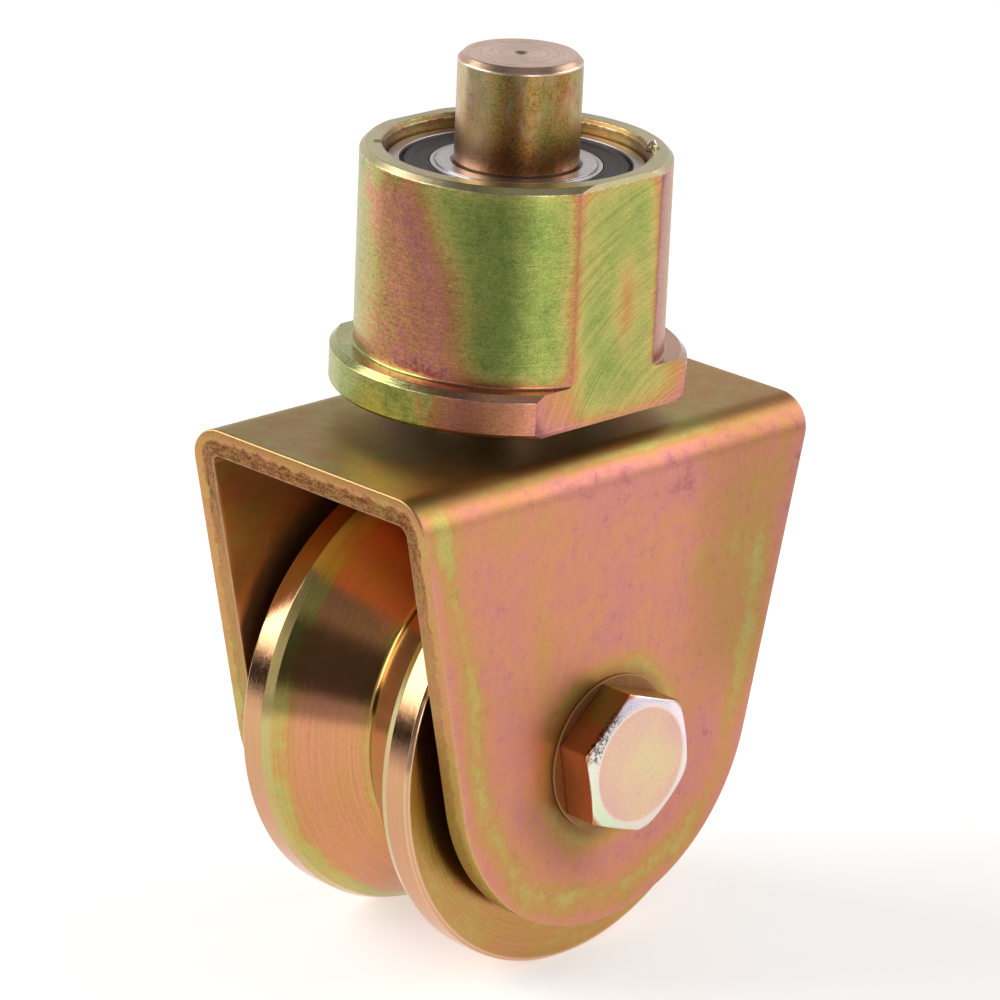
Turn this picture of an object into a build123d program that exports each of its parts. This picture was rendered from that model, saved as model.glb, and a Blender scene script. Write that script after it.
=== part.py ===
from build123d import *
import os
from math import atan2, acos, cos, sin, tan, pi, hypot, radians, degrees, sqrt

os.makedirs("parts", exist_ok=True)

# Swivelling V-groove gate wheel.
# Frame: origin on the swivel axis, at the flange's top face (the seat against the gate tube).
# +Z up along the stem, +Y along the wheel's axle, wheel rolls along X.  Millimetres.

# ---------------------------------------------------------------- driving dimensions
# bearing housing
HOUSING_R = 25.0          # turned body that enters the gate tube
HOUSING_H = 32.5          # flange seat to rim
FLANGE_R = 28.75
FLANGE_T = 7.0
FLAT_Y = 23.3             # each milled flat, from the axis
RIM_CHAMFER = 0.9
MOUTH_CHAMFER = 0.45
FLANGE_CHAMFER = 1.0
NECK_FILLET = 0.4
WEB_R = 18.0              # hole through the web between the two bearings

# swivel stem
STEM_R = 10.0
STEM_TOP = 47.7
STEM_CHAMFER = 0.95
TAIL_R = 8.0              # tail that is riveted in the fork
COLLAR_R = 13.5

# swivel bearings, 20 x 42 x 12
SB_BORE_R, SB_OD_R, SB_W = 10.0, 21.0, 12.0
SB_PITCH_R, SB_BALL_R, SB_BALLS = 15.5, 3.15, 9
SB_TOP_UPPER = 30.1       # top face of the upper bearing
SB_TOP_LOWER = 7.0        # top face of the lower bearing

# fork, bent from 4.5 mm plate
FORK_TOP = -11.6
PLATE_T = 4.5
FORK_Y = 26.7             # outside faces
BEND_R = 6.2              # outside radius of the bend
FORK_X = 43.8             # half length of the top plate
EAR_R = 33.0              # round end of each side plate
EAR_Z = -59.0
TAPER = 12.7              # degrees from vertical
EDGE_R = 0.45             # sheared edge rounding

# axle and wheel
AXLE_Z = -62.5
AXLE_R = 7.0
HEAD_AF = 21.9
HEAD_H = 6.7
HEAD_TURN = 41.4          # clock angle of one corner of the head, degrees
WASHER_R = 13.1
WASHER_T = 0.5
NUT_H = 14.0
WHEEL_R = 38.1
WHEEL_Y = 19.4            # half width
LAND_Y = 14.7             # rim land's inner edge
GROOVE_Y = 13.1           # groove mouth
GROOVE_ROOT_R = 27.7
RIM_EDGE = 0.55

# wheel bearings, 17 x 40 x 12
WB_BORE_R, WB_OD_R, WB_W = 8.5, 20.0, 12.0
WB_PITCH_R, WB_BALL_R, WB_BALLS = 14.25, 3.32, 8
WB_OUT_Y = 16.4           # outer face of each wheel bearing

RUN = 0.03                # running clearance at balls


def save(part, label):
    part.label = label
    export_step(part, "parts/" + label + ".step")


# ---------------------------------------------------------------- bearing housing
with BuildPart() as bearing_housing:
    with BuildSketch(Plane.XZ):
        with BuildLine():
            Polyline(
                (WEB_R, SB_TOP_LOWER), (SB_OD_R, SB_TOP_LOWER),
                (SB_OD_R, -FLANGE_T + 0.5), (SB_OD_R + 0.5, -FLANGE_T),
                (FLANGE_R, -FLANGE_T), (FLANGE_R, 0.0), (HOUSING_R, 0.0),
                (HOUSING_R, HOUSING_H), (SB_OD_R + MOUTH_CHAMFER, HOUSING_H),
                (SB_OD_R, HOUSING_H - MOUTH_CHAMFER * 1.6),
                (SB_OD_R, SB_TOP_UPPER - SB_W), (WEB_R, SB_TOP_UPPER - SB_W),
                (WEB_R, SB_TOP_LOWER))
        make_face()
    revolve(axis=Axis.Z)
    rim = bearing_housing.edges().filter_by(GeomType.CIRCLE).filter_by(
        lambda e: abs(e.radius - HOUSING_R) < 0.01 and abs(e.center().Z - HOUSING_H) < 0.01)
    chamfer(rim, RIM_CHAMFER)
    shoulder = bearing_housing.edges().filter_by(GeomType.CIRCLE).filter_by(
        lambda e: abs(e.radius - FLANGE_R) < 0.01 and abs(e.center().Z) < 0.01)
    chamfer(shoulder, FLANGE_CHAMFER)
    neck = bearing_housing.edges().filter_by(GeomType.CIRCLE).filter_by(
        lambda e: abs(e.radius - HOUSING_R) < 0.01 and abs(e.center().Z) < 0.01)
    fillet(neck, NECK_FILLET)
    foot = bearing_housing.edges().filter_by(GeomType.CIRCLE).filter_by(
        lambda e: abs(e.radius - FLANGE_R) < 0.01 and abs(e.center().Z + FLANGE_T) < 0.01)
    chamfer(foot, 0.7)
    # two milled flats, right through body and flange
    with BuildSketch(Plane.XY.offset(-FLANGE_T - 1)):
        with Locations((0, FLAT_Y + 6), (0, -FLAT_Y - 6)):
            Rectangle(70, 12)
    extrude(amount=HOUSING_H + FLANGE_T + 2, mode=Mode.SUBTRACT)
    # two stake marks on the rim: slots chiselled across the lip above the upper bearing
    with BuildSketch(Plane.XY.offset(HOUSING_H)):
        with Locations(Location((22.4 * cos(radians(136)), 22.4 * sin(radians(136)), 0), (0, 0, 136)),
                       Location((22.4 * cos(radians(-40)), 22.4 * sin(radians(-40)), 0), (0, 0, -40))):
            Rectangle(2.4, 0.7)
    extrude(amount=-0.7, mode=Mode.SUBTRACT)
save(bearing_housing.part, "bearing_housing")


# ---------------------------------------------------------------- bearing pieces
# Each ring is turned about its own axis at the origin, then placed.

# swivel bearing inner ring: raised face, seal step, ball track
with BuildPart() as swivel_inner_master:
    h = SB_W / 2
    with BuildSketch(Plane.XZ):
        with BuildLine():
            Polyline((SB_BORE_R, -h + 0.6), (SB_BORE_R + 0.6, -h), (12.9, -h), (12.9, -h + 0.55),
                     (13.15, -h + 0.55), (13.15, -h + 0.25), (13.8, -h + 0.25),
                     (13.8, h - 0.25), (13.15, h - 0.25), (13.15, h - 0.55), (12.9, h - 0.55),
                     (12.9, h), (SB_BORE_R + 0.6, h), (SB_BORE_R, h - 0.6), (SB_BORE_R, -h + 0.6))
        make_face()
        with Locations((SB_PITCH_R, 0)):
            Circle(SB_BALL_R + RUN, mode=Mode.SUBTRACT)
    revolve(axis=Axis.Z)

with BuildPart() as swivel_outer_master:
    h = SB_W / 2
    with BuildSketch(Plane.XZ):
        with BuildLine():
            Polyline((17.3, -h + 1.75), (18.66, -h + 1.75), (18.66, -h), (SB_OD_R - 0.5, -h),
                     (SB_OD_R, -h + 0.5), (SB_OD_R, h - 0.5), (SB_OD_R - 0.5, h), (18.66, h),
                     (18.66, h - 1.75), (17.3, h - 1.75), (17.3, -h + 1.75))
        make_face()
        with Locations((SB_PITCH_R, 0)):
            Circle(SB_BALL_R + RUN, mode=Mode.SUBTRACT)
    revolve(axis=Axis.Z)

# rubber seal: outer bead, shallow channel, dished face and lip, for the top side
with BuildPart() as swivel_seal_master:
    h = SB_W / 2
    with BuildSketch(Plane.XZ):
        with BuildLine():
            Polyline((13.95, h - 1.3), (18.66, h - 1.75), (18.66, h - 0.25), (18.45, h - 0.25),
                     (18.3, h - 0.75), (18.05, h - 0.75), (17.9, h - 0.2), (17.0, h - 0.2),
                     (16.8, h - 0.35), (14.7, h - 0.35), (14.45, h - 0.2), (13.95, h - 0.3),
                     (13.95, h - 1.3))
        make_face()
    revolve(axis=Axis.Z)

with BuildPart() as swivel_balls_master:
    with PolarLocations(SB_PITCH_R, SB_BALLS):
        Sphere(SB_BALL_R)

# pressed cage: a ring with a round pocket for each ball
with BuildPart() as swivel_cage_master:
    with BuildSketch(Plane.XZ):
        with Locations((SB_PITCH_R, 0)):
            Rectangle(1.4, 7.6)
    revolve(axis=Axis.Z)
    for k in range(SB_BALLS):           # pockets, drilled radially
        with BuildSketch(Plane(
                origin=(0, 0, 0), x_dir=(0, 0, 1),
                z_dir=(cos(2 * pi * k / SB_BALLS), sin(2 * pi * k / SB_BALLS), 0))):
            Circle(SB_BALL_R + 0.02)
        extrude(amount=SB_PITCH_R + 3, mode=Mode.SUBTRACT)

with BuildPart() as wheel_inner_master:
    h = WB_W / 2
    with BuildSketch(Plane.XZ):
        with BuildLine():
            Polyline((WB_BORE_R, -h + 0.5), (WB_BORE_R + 0.5, -h), (11.5, -h), (11.5, -h + 0.4),
                     (12.2, -h + 0.4), (12.2, h - 0.4), (11.5, h - 0.4), (11.5, h),
                     (WB_BORE_R + 0.5, h), (WB_BORE_R, h - 0.5), (WB_BORE_R, -h + 0.5))
        make_face()
        with Locations((WB_PITCH_R, 0)):
            Circle(WB_BALL_R + RUN, mode=Mode.SUBTRACT)
    revolve(axis=Axis.Z)

with BuildPart() as wheel_outer_master:
    h = WB_W / 2
    with BuildSketch(Plane.XZ):
        with BuildLine():
            Polyline((16.3, -h + 1.7), (17.5, -h + 1.7), (17.5, -h), (WB_OD_R - 0.5, -h),
                     (WB_OD_R, -h + 0.5), (WB_OD_R, h - 0.5), (WB_OD_R - 0.5, h), (17.5, h),
                     (17.5, h - 1.7), (16.3, h - 1.7), (16.3, -h + 1.7))
        make_face()
        with Locations((WB_PITCH_R, 0)):
            Circle(WB_BALL_R + RUN, mode=Mode.SUBTRACT)
    revolve(axis=Axis.Z)

with BuildPart() as wheel_seal_master:
    h = WB_W / 2
    with BuildSketch(Plane.XZ):
        with BuildLine():
            Polyline((12.35, h - 1.2), (17.5, h - 1.7), (17.5, h - 0.25), (17.2, h - 0.25),
                     (17.05, h - 0.7), (16.85, h - 0.7), (16.7, h - 0.2), (15.9, h - 0.2),
                     (15.7, h - 0.35), (13.1, h - 0.35), (12.85, h - 0.2), (12.35, h - 0.3),
                     (12.35, h - 1.2))
        make_face()
    revolve(axis=Axis.Z)

with BuildPart() as wheel_balls_master:
    with PolarLocations(WB_PITCH_R, WB_BALLS):
        Sphere(WB_BALL_R)

with BuildPart() as wheel_cage_master:
    with BuildSketch(Plane.XZ):
        with Locations((WB_PITCH_R, 0)):
            Rectangle(1.4, 7.6)
    revolve(axis=Axis.Z)
    for k in range(WB_BALLS):           # pockets, drilled radially
        with BuildSketch(Plane(
                origin=(0, 0, 0), x_dir=(0, 0, 1),
                z_dir=(cos(2 * pi * k / WB_BALLS), sin(2 * pi * k / WB_BALLS), 0))):
            Circle(WB_BALL_R + 0.02)
        extrude(amount=WB_PITCH_R + 3, mode=Mode.SUBTRACT)

UP = SB_TOP_UPPER - SB_W / 2      # centre heights of the two swivel bearings
LO = SB_TOP_LOWER - SB_W / 2
FLIP = Rot(180, 0, 0)
WY = WB_OUT_Y - WB_W / 2          # centre distance of each wheel bearing from the mid plane
ONTO_AXLE = Pos(0, 0, AXLE_Z) * Rot(-90, 0, 0)   # local +Z becomes +Y

save(Pos(0, 0, UP) * swivel_outer_master.part, "upper_bearing_outer_ring")
save(Pos(0, 0, UP) * swivel_inner_master.part, "upper_bearing_inner_ring")
save(Pos(0, 0, UP) * swivel_balls_master.part, "upper_bearing_balls")
save(Pos(0, 0, UP) * swivel_cage_master.part, "upper_bearing_cage")
save(Pos(0, 0, UP) * swivel_seal_master.part, "upper_bearing_top_seal")
save(Pos(0, 0, UP) * FLIP * swivel_seal_master.part, "upper_bearing_bottom_seal")
save(Pos(0, 0, LO) * swivel_outer_master.part, "lower_bearing_outer_ring")
save(Pos(0, 0, LO) * swivel_inner_master.part, "lower_bearing_inner_ring")
save(Pos(0, 0, LO) * swivel_balls_master.part, "lower_bearing_balls")
save(Pos(0, 0, LO) * swivel_cage_master.part, "lower_bearing_cage")
save(Pos(0, 0, LO) * swivel_seal_master.part, "lower_bearing_top_seal")
save(Pos(0, 0, LO) * FLIP * swivel_seal_master.part, "lower_bearing_bottom_seal")

# ---------------------------------------------------------------- swivel stem
with BuildPart() as swivel_stem:
    with BuildSketch(Plane.XZ):
        with BuildLine():
            Polyline((0, STEM_TOP - 1.1), (0.55, STEM_TOP - 0.55), (1.1, STEM_TOP),
                     (STEM_R - STEM_CHAMFER, STEM_TOP),
                     (STEM_R, STEM_TOP - STEM_CHAMFER),
                     # relief where the ground bearing seat ends
                     (STEM_R, SB_TOP_UPPER + 0.2), (STEM_R - 0.4, SB_TOP_UPPER),
                     (STEM_R - 0.4, SB_TOP_UPPER - 0.9), (STEM_R, SB_TOP_UPPER - 1.2),
                     (STEM_R, FORK_TOP), (TAIL_R, FORK_TOP),
                     (TAIL_R, FORK_TOP - PLATE_T), (TAIL_R + 3.0, FORK_TOP - PLATE_T),
                     (TAIL_R + 2.6, FORK_TOP - PLATE_T - 1.6), (TAIL_R - 1.0, FORK_TOP - PLATE_T - 2.6),
                     (0, FORK_TOP - PLATE_T - 2.6), (0, STEM_TOP - 1.1))
        make_face()
    revolve(axis=Axis.Z)
save(swivel_stem.part, "swivel_stem")

# collar that carries the lower bearing's inner ring above the fork
with BuildPart() as thrust_collar:
    with BuildSketch(Plane.XY.offset(FORK_TOP)):
        Circle(COLLAR_R)
        Circle(STEM_R, mode=Mode.SUBTRACT)
    extrude(amount=SB_TOP_LOWER - SB_W - FORK_TOP)
    top = thrust_collar.edges().filter_by(GeomType.CIRCLE).filter_by(
        lambda e: abs(e.radius - COLLAR_R) < 0.01).sort_by(Axis.Z)[-1]
    chamfer(top, 0.6)
    chamfer(thrust_collar.edges().filter_by(GeomType.CIRCLE).filter_by(
        lambda e: abs(e.radius - COLLAR_R) < 0.01).sort_by(Axis.Z)[0], 0.4)
save(thrust_collar.part, "thrust_collar")

# tube between the two inner rings
with BuildPart() as bearing_spacer_tube:
    with BuildSketch(Plane.XY.offset(SB_TOP_LOWER)):
        Circle(12.6)
        Circle(STEM_R, mode=Mode.SUBTRACT)
    extrude(amount=SB_TOP_UPPER - SB_W - SB_TOP_LOWER)
save(bearing_spacer_tube.part, "bearing_spacer_tube")

# ---------------------------------------------------------------- fork
# side outline: straight tapered sides tangent to the round end
_a = radians(TAPER)
_tan_x = EAR_R * cos(_a)
_tan_z = EAR_Z - EAR_R * sin(_a)
_top_z = _tan_z + (FORK_X - _tan_x) / tan(_a)      # where the taper meets the top plate's ends
_by, _bz = FORK_Y - BEND_R, FORK_TOP - BEND_R      # centre of the bends
_ri = BEND_R - PLATE_T
_q = sqrt(0.5)
with BuildPart() as fork:
    with BuildSketch(Plane.YZ.offset(-FORK_X)):
        with BuildLine():
            Polyline((-FORK_Y, -100), (-FORK_Y, _bz))
            ThreePointArc((-FORK_Y, _bz), (-_by - BEND_R * _q, _bz + BEND_R * _q), (-_by, FORK_TOP))
            Polyline((-_by, FORK_TOP), (_by, FORK_TOP))
            ThreePointArc((_by, FORK_TOP), (_by + BEND_R * _q, _bz + BEND_R * _q), (FORK_Y, _bz))
            Polyline((FORK_Y, _bz), (FORK_Y, -100), (FORK_Y - PLATE_T, -100), (FORK_Y - PLATE_T, _bz))
            ThreePointArc((FORK_Y - PLATE_T, _bz), (_by + _ri * _q, _bz + _ri * _q),
                          (_by, FORK_TOP - PLATE_T))
            Polyline((_by, FORK_TOP - PLATE_T), (-_by, FORK_TOP - PLATE_T))
            ThreePointArc((-_by, FORK_TOP - PLATE_T), (-_by - _ri * _q, _bz + _ri * _q),
                          (-FORK_Y + PLATE_T, _bz))
            Polyline((-FORK_Y + PLATE_T, _bz), (-FORK_Y + PLATE_T, -100), (-FORK_Y, -100))
        make_face()
    extrude(amount=2 * FORK_X)
    with BuildSketch(Plane.XZ.offset(-40)):
        with BuildLine():
            Polyline((-_tan_x, _tan_z), (-FORK_X, _top_z), (-FORK_X, FORK_TOP + 5),
                     (FORK_X, FORK_TOP + 5), (FORK_X, _top_z), (_tan_x, _tan_z))
            ThreePointArc((_tan_x, _tan_z), (0, EAR_Z - EAR_R), (-_tan_x, _tan_z))
        make_face()
    extrude(amount=80, mode=Mode.INTERSECT)
    # edges rolled over by the blanking punch, outer side
    outer = fork.faces().filter_by(lambda f: abs(f.center().Y) > FORK_Y - 0.01
                                   or f.center().Z > FORK_TOP - 0.01).edges()
    roll = outer.filter_by(lambda e: not (abs(abs(e.center().X)) < 0.01 and e.center().Z > -30))
    try:
        fillet(roll, EDGE_R)
        print("fork edge fillet ok", len(roll))
    except Exception as err:
        print("fork edge fillet skipped:", err)
    # axle holes and stem hole
    with BuildSketch(Plane.XZ.offset(-40)):
        with Locations((0, AXLE_Z)):
            Circle(AXLE_R + 0.2)
    extrude(amount=80, mode=Mode.SUBTRACT)
    with BuildSketch(Plane.XY.offset(FORK_TOP + 5)):
        Circle(TAIL_R)
    extrude(amount=-12, mode=Mode.SUBTRACT)
save(fork.part, "fork")

# ---------------------------------------------------------------- axle bolt, washers, nut
# all turned about the Y axis at the origin, then lowered to the axle
HEAD_BASE = -(FORK_Y + WASHER_T)
NUT_BASE = FORK_Y + WASHER_T
BOLT_END = NUT_BASE + NUT_H + 3.3
THREAD_START = FORK_Y + 0.4
THREAD_PITCH, THREAD_DEPTH = 2.0, 0.95
HEX_R = HEAD_AF / 2 / cos(pi / 6)
FACE_R = 9.85                      # flat circle left on the head by its 20 degree chamfer
FACING_MINUS_Y = Plane(origin=(0, 0, 0), x_dir=(1, 0, 0), z_dir=(0, -1, 0))
AT_AXLE = Pos(0, 0, AXLE_Z)

with BuildPart() as axle_bolt:
    with BuildSketch(FACING_MINUS_Y.offset(-HEAD_BASE)):
        RegularPolygon(radius=HEX_R, side_count=6, rotation=HEAD_TURN)
    extrude(amount=HEAD_H)
    with BuildSketch(Plane.XY):
        with BuildLine():
            Polyline((0, HEAD_BASE), (HEX_R - 0.35, HEAD_BASE), (HEX_R + 2, HEAD_BASE - 1.3),
                     (HEX_R + 2, HEAD_BASE - HEAD_H + (HEX_R + 2 - FACE_R) * tan(radians(20))),
                     (FACE_R, HEAD_BASE - HEAD_H), (0, HEAD_BASE - HEAD_H), (0, HEAD_BASE))
        make_face()
    revolve(axis=Axis.Y, mode=Mode.INTERSECT)
    with BuildSketch(Plane.XY):
        with BuildLine():
            pts = [(0, HEAD_BASE - 1), (AXLE_R, HEAD_BASE - 1), (AXLE_R, THREAD_START)]
            y = THREAD_START
            while y + THREAD_PITCH < BOLT_END - 0.9:
                pts += [(AXLE_R - THREAD_DEPTH, y + 0.85), (AXLE_R - THREAD_DEPTH, y + 1.05),
                        (AXLE_R, y + 1.85), (AXLE_R, y + 2.0)]
                y += THREAD_PITCH
            pts += [(AXLE_R, BOLT_END - 1.0), (AXLE_R - 1.0, BOLT_END), (0, BOLT_END), (0, HEAD_BASE - 1)]
            Polyline(*pts)
        make_face()
    revolve(axis=Axis.Y)
save(AT_AXLE * axle_bolt.part, "axle_bolt")

with BuildPart() as washer_master:
    with BuildSketch(Plane.XZ.offset(-FORK_Y)):
        Circle(WASHER_R)
        Circle(AXLE_R + 0.2, mode=Mode.SUBTRACT)
    extrude(amount=-WASHER_T)
    chamfer(washer_master.edges().filter_by(GeomType.CIRCLE).filter_by(
        lambda e: abs(e.radius - WASHER_R) < 0.01).sort_by(Axis.Y)[-1], 0.12)
save(AT_AXLE * washer_master.part, "nut_washer")
save(AT_AXLE * Rot(0, 0, 180) * washer_master.part, "head_washer")

# lock nut: hexagon, collar above it, and a nylon ring held in the collar
NUT_HEX_H = 9.6
with BuildPart() as lock_nut:
    with BuildSketch(Plane.XZ.offset(-NUT_BASE)):
        RegularPolygon(radius=HEX_R, side_count=6, rotation=15)
    extrude(amount=-NUT_HEX_H)
    with BuildSketch(Plane.XY):
        with BuildLine():
            Polyline((0, NUT_BASE), (HEX_R - 0.9, NUT_BASE), (HEX_R + 2, NUT_BASE + 1.7),
                     (HEX_R + 2, NUT_BASE + NUT_HEX_H - 1.7), (HEX_R - 0.9, NUT_BASE + NUT_HEX_H),
                     (0, NUT_BASE + NUT_HEX_H), (0, NUT_BASE))
        make_face()
    revolve(axis=Axis.Y, mode=Mode.INTERSECT)
    with BuildSketch(Plane.XY):
        with BuildLine():
            Polyline((6.0, NUT_BASE + NUT_HEX_H - 1), (9.9, NUT_BASE + NUT_HEX_H - 1),
                     (9.9, NUT_BASE + NUT_H - 1.8), (8.6, NUT_BASE + NUT_H), (8.0, NUT_BASE + NUT_H),
                     (8.0, NUT_BASE + NUT_H - 0.7), (9.1, NUT_BASE + NUT_H - 2.0),
                     (9.1, NUT_BASE + NUT_H - 3.4), (6.0, NUT_BASE + NUT_H - 3.4),
                     (6.0, NUT_BASE + NUT_HEX_H - 1))
        make_face()
    revolve(axis=Axis.Y)
    with BuildSketch(Plane.XZ.offset(-NUT_BASE + 1)):
        Circle(AXLE_R + 0.02)
    extrude(amount=-NUT_H - 3, mode=Mode.SUBTRACT)
save(AT_AXLE * lock_nut.part, "lock_nut")

with BuildPart() as lock_nut_insert:
    with BuildSketch(Plane.XY):
        with BuildLine():
            Polyline((AXLE_R + 0.02, NUT_BASE + NUT_H - 3.4), (9.1, NUT_BASE + NUT_H - 3.4),
                     (9.1, NUT_BASE + NUT_H - 2.0), (8.2, NUT_BASE + NUT_H - 0.95),
                     (AXLE_R + 0.02, NUT_BASE + NUT_H - 0.95), (AXLE_R + 0.02, NUT_BASE + NUT_H - 3.4))
        make_face()
    revolve(axis=Axis.Y)
save(AT_AXLE * lock_nut_insert.part, "lock_nut_insert")

# ---------------------------------------------------------------- inside the wheel
INSIDE_Y = FORK_Y - PLATE_T        # inside faces of the fork
with BuildPart() as axle_sleeve:   # full-width tube, clamped between the fork's side plates
    with BuildSketch(Plane.XZ.offset(-INSIDE_Y)):
        Circle(WB_BORE_R)
        Circle(AXLE_R + 0.1, mode=Mode.SUBTRACT)
    extrude(amount=2 * INSIDE_Y)
save(AT_AXLE * axle_sleeve.part, "axle_sleeve")

with BuildPart() as outer_spacer:  # fork to bearing inner ring
    with BuildSketch(Plane.XZ.offset(-INSIDE_Y)):
        Circle(11.2)
        Circle(WB_BORE_R, mode=Mode.SUBTRACT)
    extrude(amount=INSIDE_Y - WB_OUT_Y)
save(AT_AXLE * outer_spacer.part, "nut_side_spacer")
save(AT_AXLE * Rot(0, 0, 180) * outer_spacer.part, "head_side_spacer")

with BuildPart() as hub_spacer:    # between the two inner rings
    with BuildSketch(Plane.XZ.offset(-(WB_OUT_Y - WB_W))):
        Circle(11.2)
        Circle(WB_BORE_R, mode=Mode.SUBTRACT)
    extrude(amount=2 * (WB_OUT_Y - WB_W))
save(AT_AXLE * hub_spacer.part, "hub_spacer")

for side, flip in (("nut_side", Rot(0, 0, 0)), ("head_side", Rot(0, 0, 180))):
    at = AT_AXLE * flip * Pos(0, WY, 0) * Rot(-90, 0, 0)
    save(at * wheel_inner_master.part, side + "_bearing_inner_ring")
    save(at * wheel_outer_master.part, side + "_bearing_outer_ring")
    save(at * wheel_balls_master.part, side + "_bearing_balls")
    save(at * wheel_cage_master.part, side + "_bearing_cage")
    save(Compound(children=[at * wheel_seal_master.part, at * FLIP * wheel_seal_master.part]),
         side + "_bearing_seals")

# ---------------------------------------------------------------- wheel
RING_Y0, RING_Y1, RING_R = WB_OUT_Y, WB_OUT_Y + 1.8, 21.1     # snap ring groove
with BuildPart() as v_groove_wheel:
    with BuildSketch(Plane.XY):
        with BuildLine():
            half = [(WB_OD_R, WHEEL_Y - 0.6), (WB_OD_R + 0.6, WHEEL_Y), (WHEEL_R - RIM_EDGE, WHEEL_Y),
                    (WHEEL_R, WHEEL_Y - RIM_EDGE), (WHEEL_R, LAND_Y), (WHEEL_R - 0.65, GROOVE_Y),
                    (GROOVE_ROOT_R, 0.0)]
            bore = [(WB_OD_R, RING_Y1), (RING_R, RING_Y1), (RING_R, RING_Y0), (WB_OD_R, RING_Y0),
                    (WB_OD_R, WB_OUT_Y - WB_W), (17.5, WB_OUT_Y - WB_W)]
            outline = [bore[-1]] + bore[::-1][1:] + half
            full = outline + [(x, -y) for x, y in outline[::-1][1:]] + [outline[0]]
            Polyline(*full)
        make_face()
    revolve(axis=Axis.Y)
    root = v_groove_wheel.edges().filter_by(GeomType.CIRCLE).filter_by(
        lambda e: abs(e.radius - GROOVE_ROOT_R) < 0.01)
    fillet(root, 1.6)
save(AT_AXLE * v_groove_wheel.part, "v_groove_wheel")

# snap ring for a 40 mm bore, with its two plier eyes
with BuildPart() as snap_ring:
    with BuildSketch(Plane.XZ.offset(-RING_Y0)):
        Circle(RING_R - 0.05)
        Circle(RING_R - 3.4, mode=Mode.SUBTRACT)
        with Locations((0, 20)):
            Rectangle(7.0, 10, mode=Mode.SUBTRACT)
        with Locations((4.6, 17.4), (-4.6, 17.4)):
            Circle(2.3)
        with Locations((4.6, 17.4), (-4.6, 17.4)):
            Circle(0.95, mode=Mode.SUBTRACT)
    extrude(amount=-1.75)
save(AT_AXLE * snap_ring.part, "nut_side_snap_ring")
save(AT_AXLE * Rot(0, 0, 180) * snap_ring.part, "head_side_snap_ring")
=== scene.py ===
import bpy, bmesh, math
import numpy as np
from mathutils import Vector, Matrix, noise


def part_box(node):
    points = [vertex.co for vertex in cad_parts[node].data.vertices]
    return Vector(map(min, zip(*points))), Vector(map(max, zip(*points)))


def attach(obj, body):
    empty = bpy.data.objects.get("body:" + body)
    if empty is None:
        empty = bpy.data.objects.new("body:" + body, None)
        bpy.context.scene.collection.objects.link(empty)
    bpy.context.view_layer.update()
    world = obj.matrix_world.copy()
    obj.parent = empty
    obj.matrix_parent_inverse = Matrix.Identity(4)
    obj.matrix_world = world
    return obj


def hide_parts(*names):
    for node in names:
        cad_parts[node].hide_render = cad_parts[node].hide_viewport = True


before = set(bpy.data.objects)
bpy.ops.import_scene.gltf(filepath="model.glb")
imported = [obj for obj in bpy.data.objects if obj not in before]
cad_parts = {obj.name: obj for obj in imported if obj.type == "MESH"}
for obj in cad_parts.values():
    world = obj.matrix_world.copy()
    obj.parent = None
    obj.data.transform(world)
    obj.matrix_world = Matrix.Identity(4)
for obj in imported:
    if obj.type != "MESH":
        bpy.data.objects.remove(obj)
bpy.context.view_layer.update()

MM = 0.001
scene = bpy.context.scene

# ------------------------------------------------------------------ sizes, from the CAD, in mm
lo_h, hi_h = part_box("bearing_housing")
lo_f, hi_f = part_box("fork")
lo_w, hi_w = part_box("v_groove_wheel")
lo_s, hi_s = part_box("swivel_stem")
HOUSING_R, HOUSING_H = 25.0, hi_h.z / MM
FLANGE_R, FLANGE_T = hi_h.x / MM, -lo_h.z / MM
FLAT_Y = hi_h.y / MM
FORK_TOP, FORK_Y, FORK_X = hi_f.z / MM, hi_f.y / MM, hi_f.x / MM
PLATE_T, BEND_R, EAR_R, TAPER = 4.5, 6.2, 33.0, math.radians(12.7)
EAR_Z = lo_f.z / MM + EAR_R
WHEEL_R, WHEEL_Y = hi_w.x / MM, hi_w.y / MM
AXLE_Z = (lo_w.z + hi_w.z) / 2 / MM
STEM_TOP = hi_s.z / MM
AXLE_R, WASHER_T, WASHER_R = 7.0, 0.5, 13.1
HEAD_H, HEAD_AF, HEAD_TURN, NUT_H = 6.7, 21.9, 41.4, 14.0
SB_TOP = 30.1

# ------------------------------------------------------------------ mesh helpers


def make_object(name, verts, faces, mat, body, replaces=(), smooth=True, sharp=None):
    me = bpy.data.meshes.new(name)
    me.from_pydata([tuple(float(c) * MM for c in v) for v in verts], [], faces)
    me.validate()
    me.update()
    ob = bpy.data.objects.new(name, me)
    scene.collection.objects.link(ob)
    finish_object(ob, mat, body, replaces, smooth, sharp)
    return ob


def finish_object(ob, mat, body, replaces=(), smooth=True, sharp=None):
    me = ob.data
    if smooth:
        me.polygons.foreach_set("use_smooth", [True] * len(me.polygons))
        if sharp is not None:
            me.set_sharp_from_angle(angle=math.radians(sharp))
    if mat is not None:
        me.materials.clear()
        me.materials.append(mat)
    if replaces:
        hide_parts(*replaces)
    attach(ob, body)


def clean(ob, dist=1e-6, normals=True):
    bm = bmesh.new()
    bm.from_mesh(ob.data)
    bmesh.ops.remove_doubles(bm, verts=bm.verts, dist=dist)
    bmesh.ops.dissolve_degenerate(bm, edges=bm.edges, dist=dist)
    if normals:
        bmesh.ops.recalc_face_normals(bm, faces=bm.faces)
    bm.to_mesh(ob.data)
    bm.free()
    ob.data.update()


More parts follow.
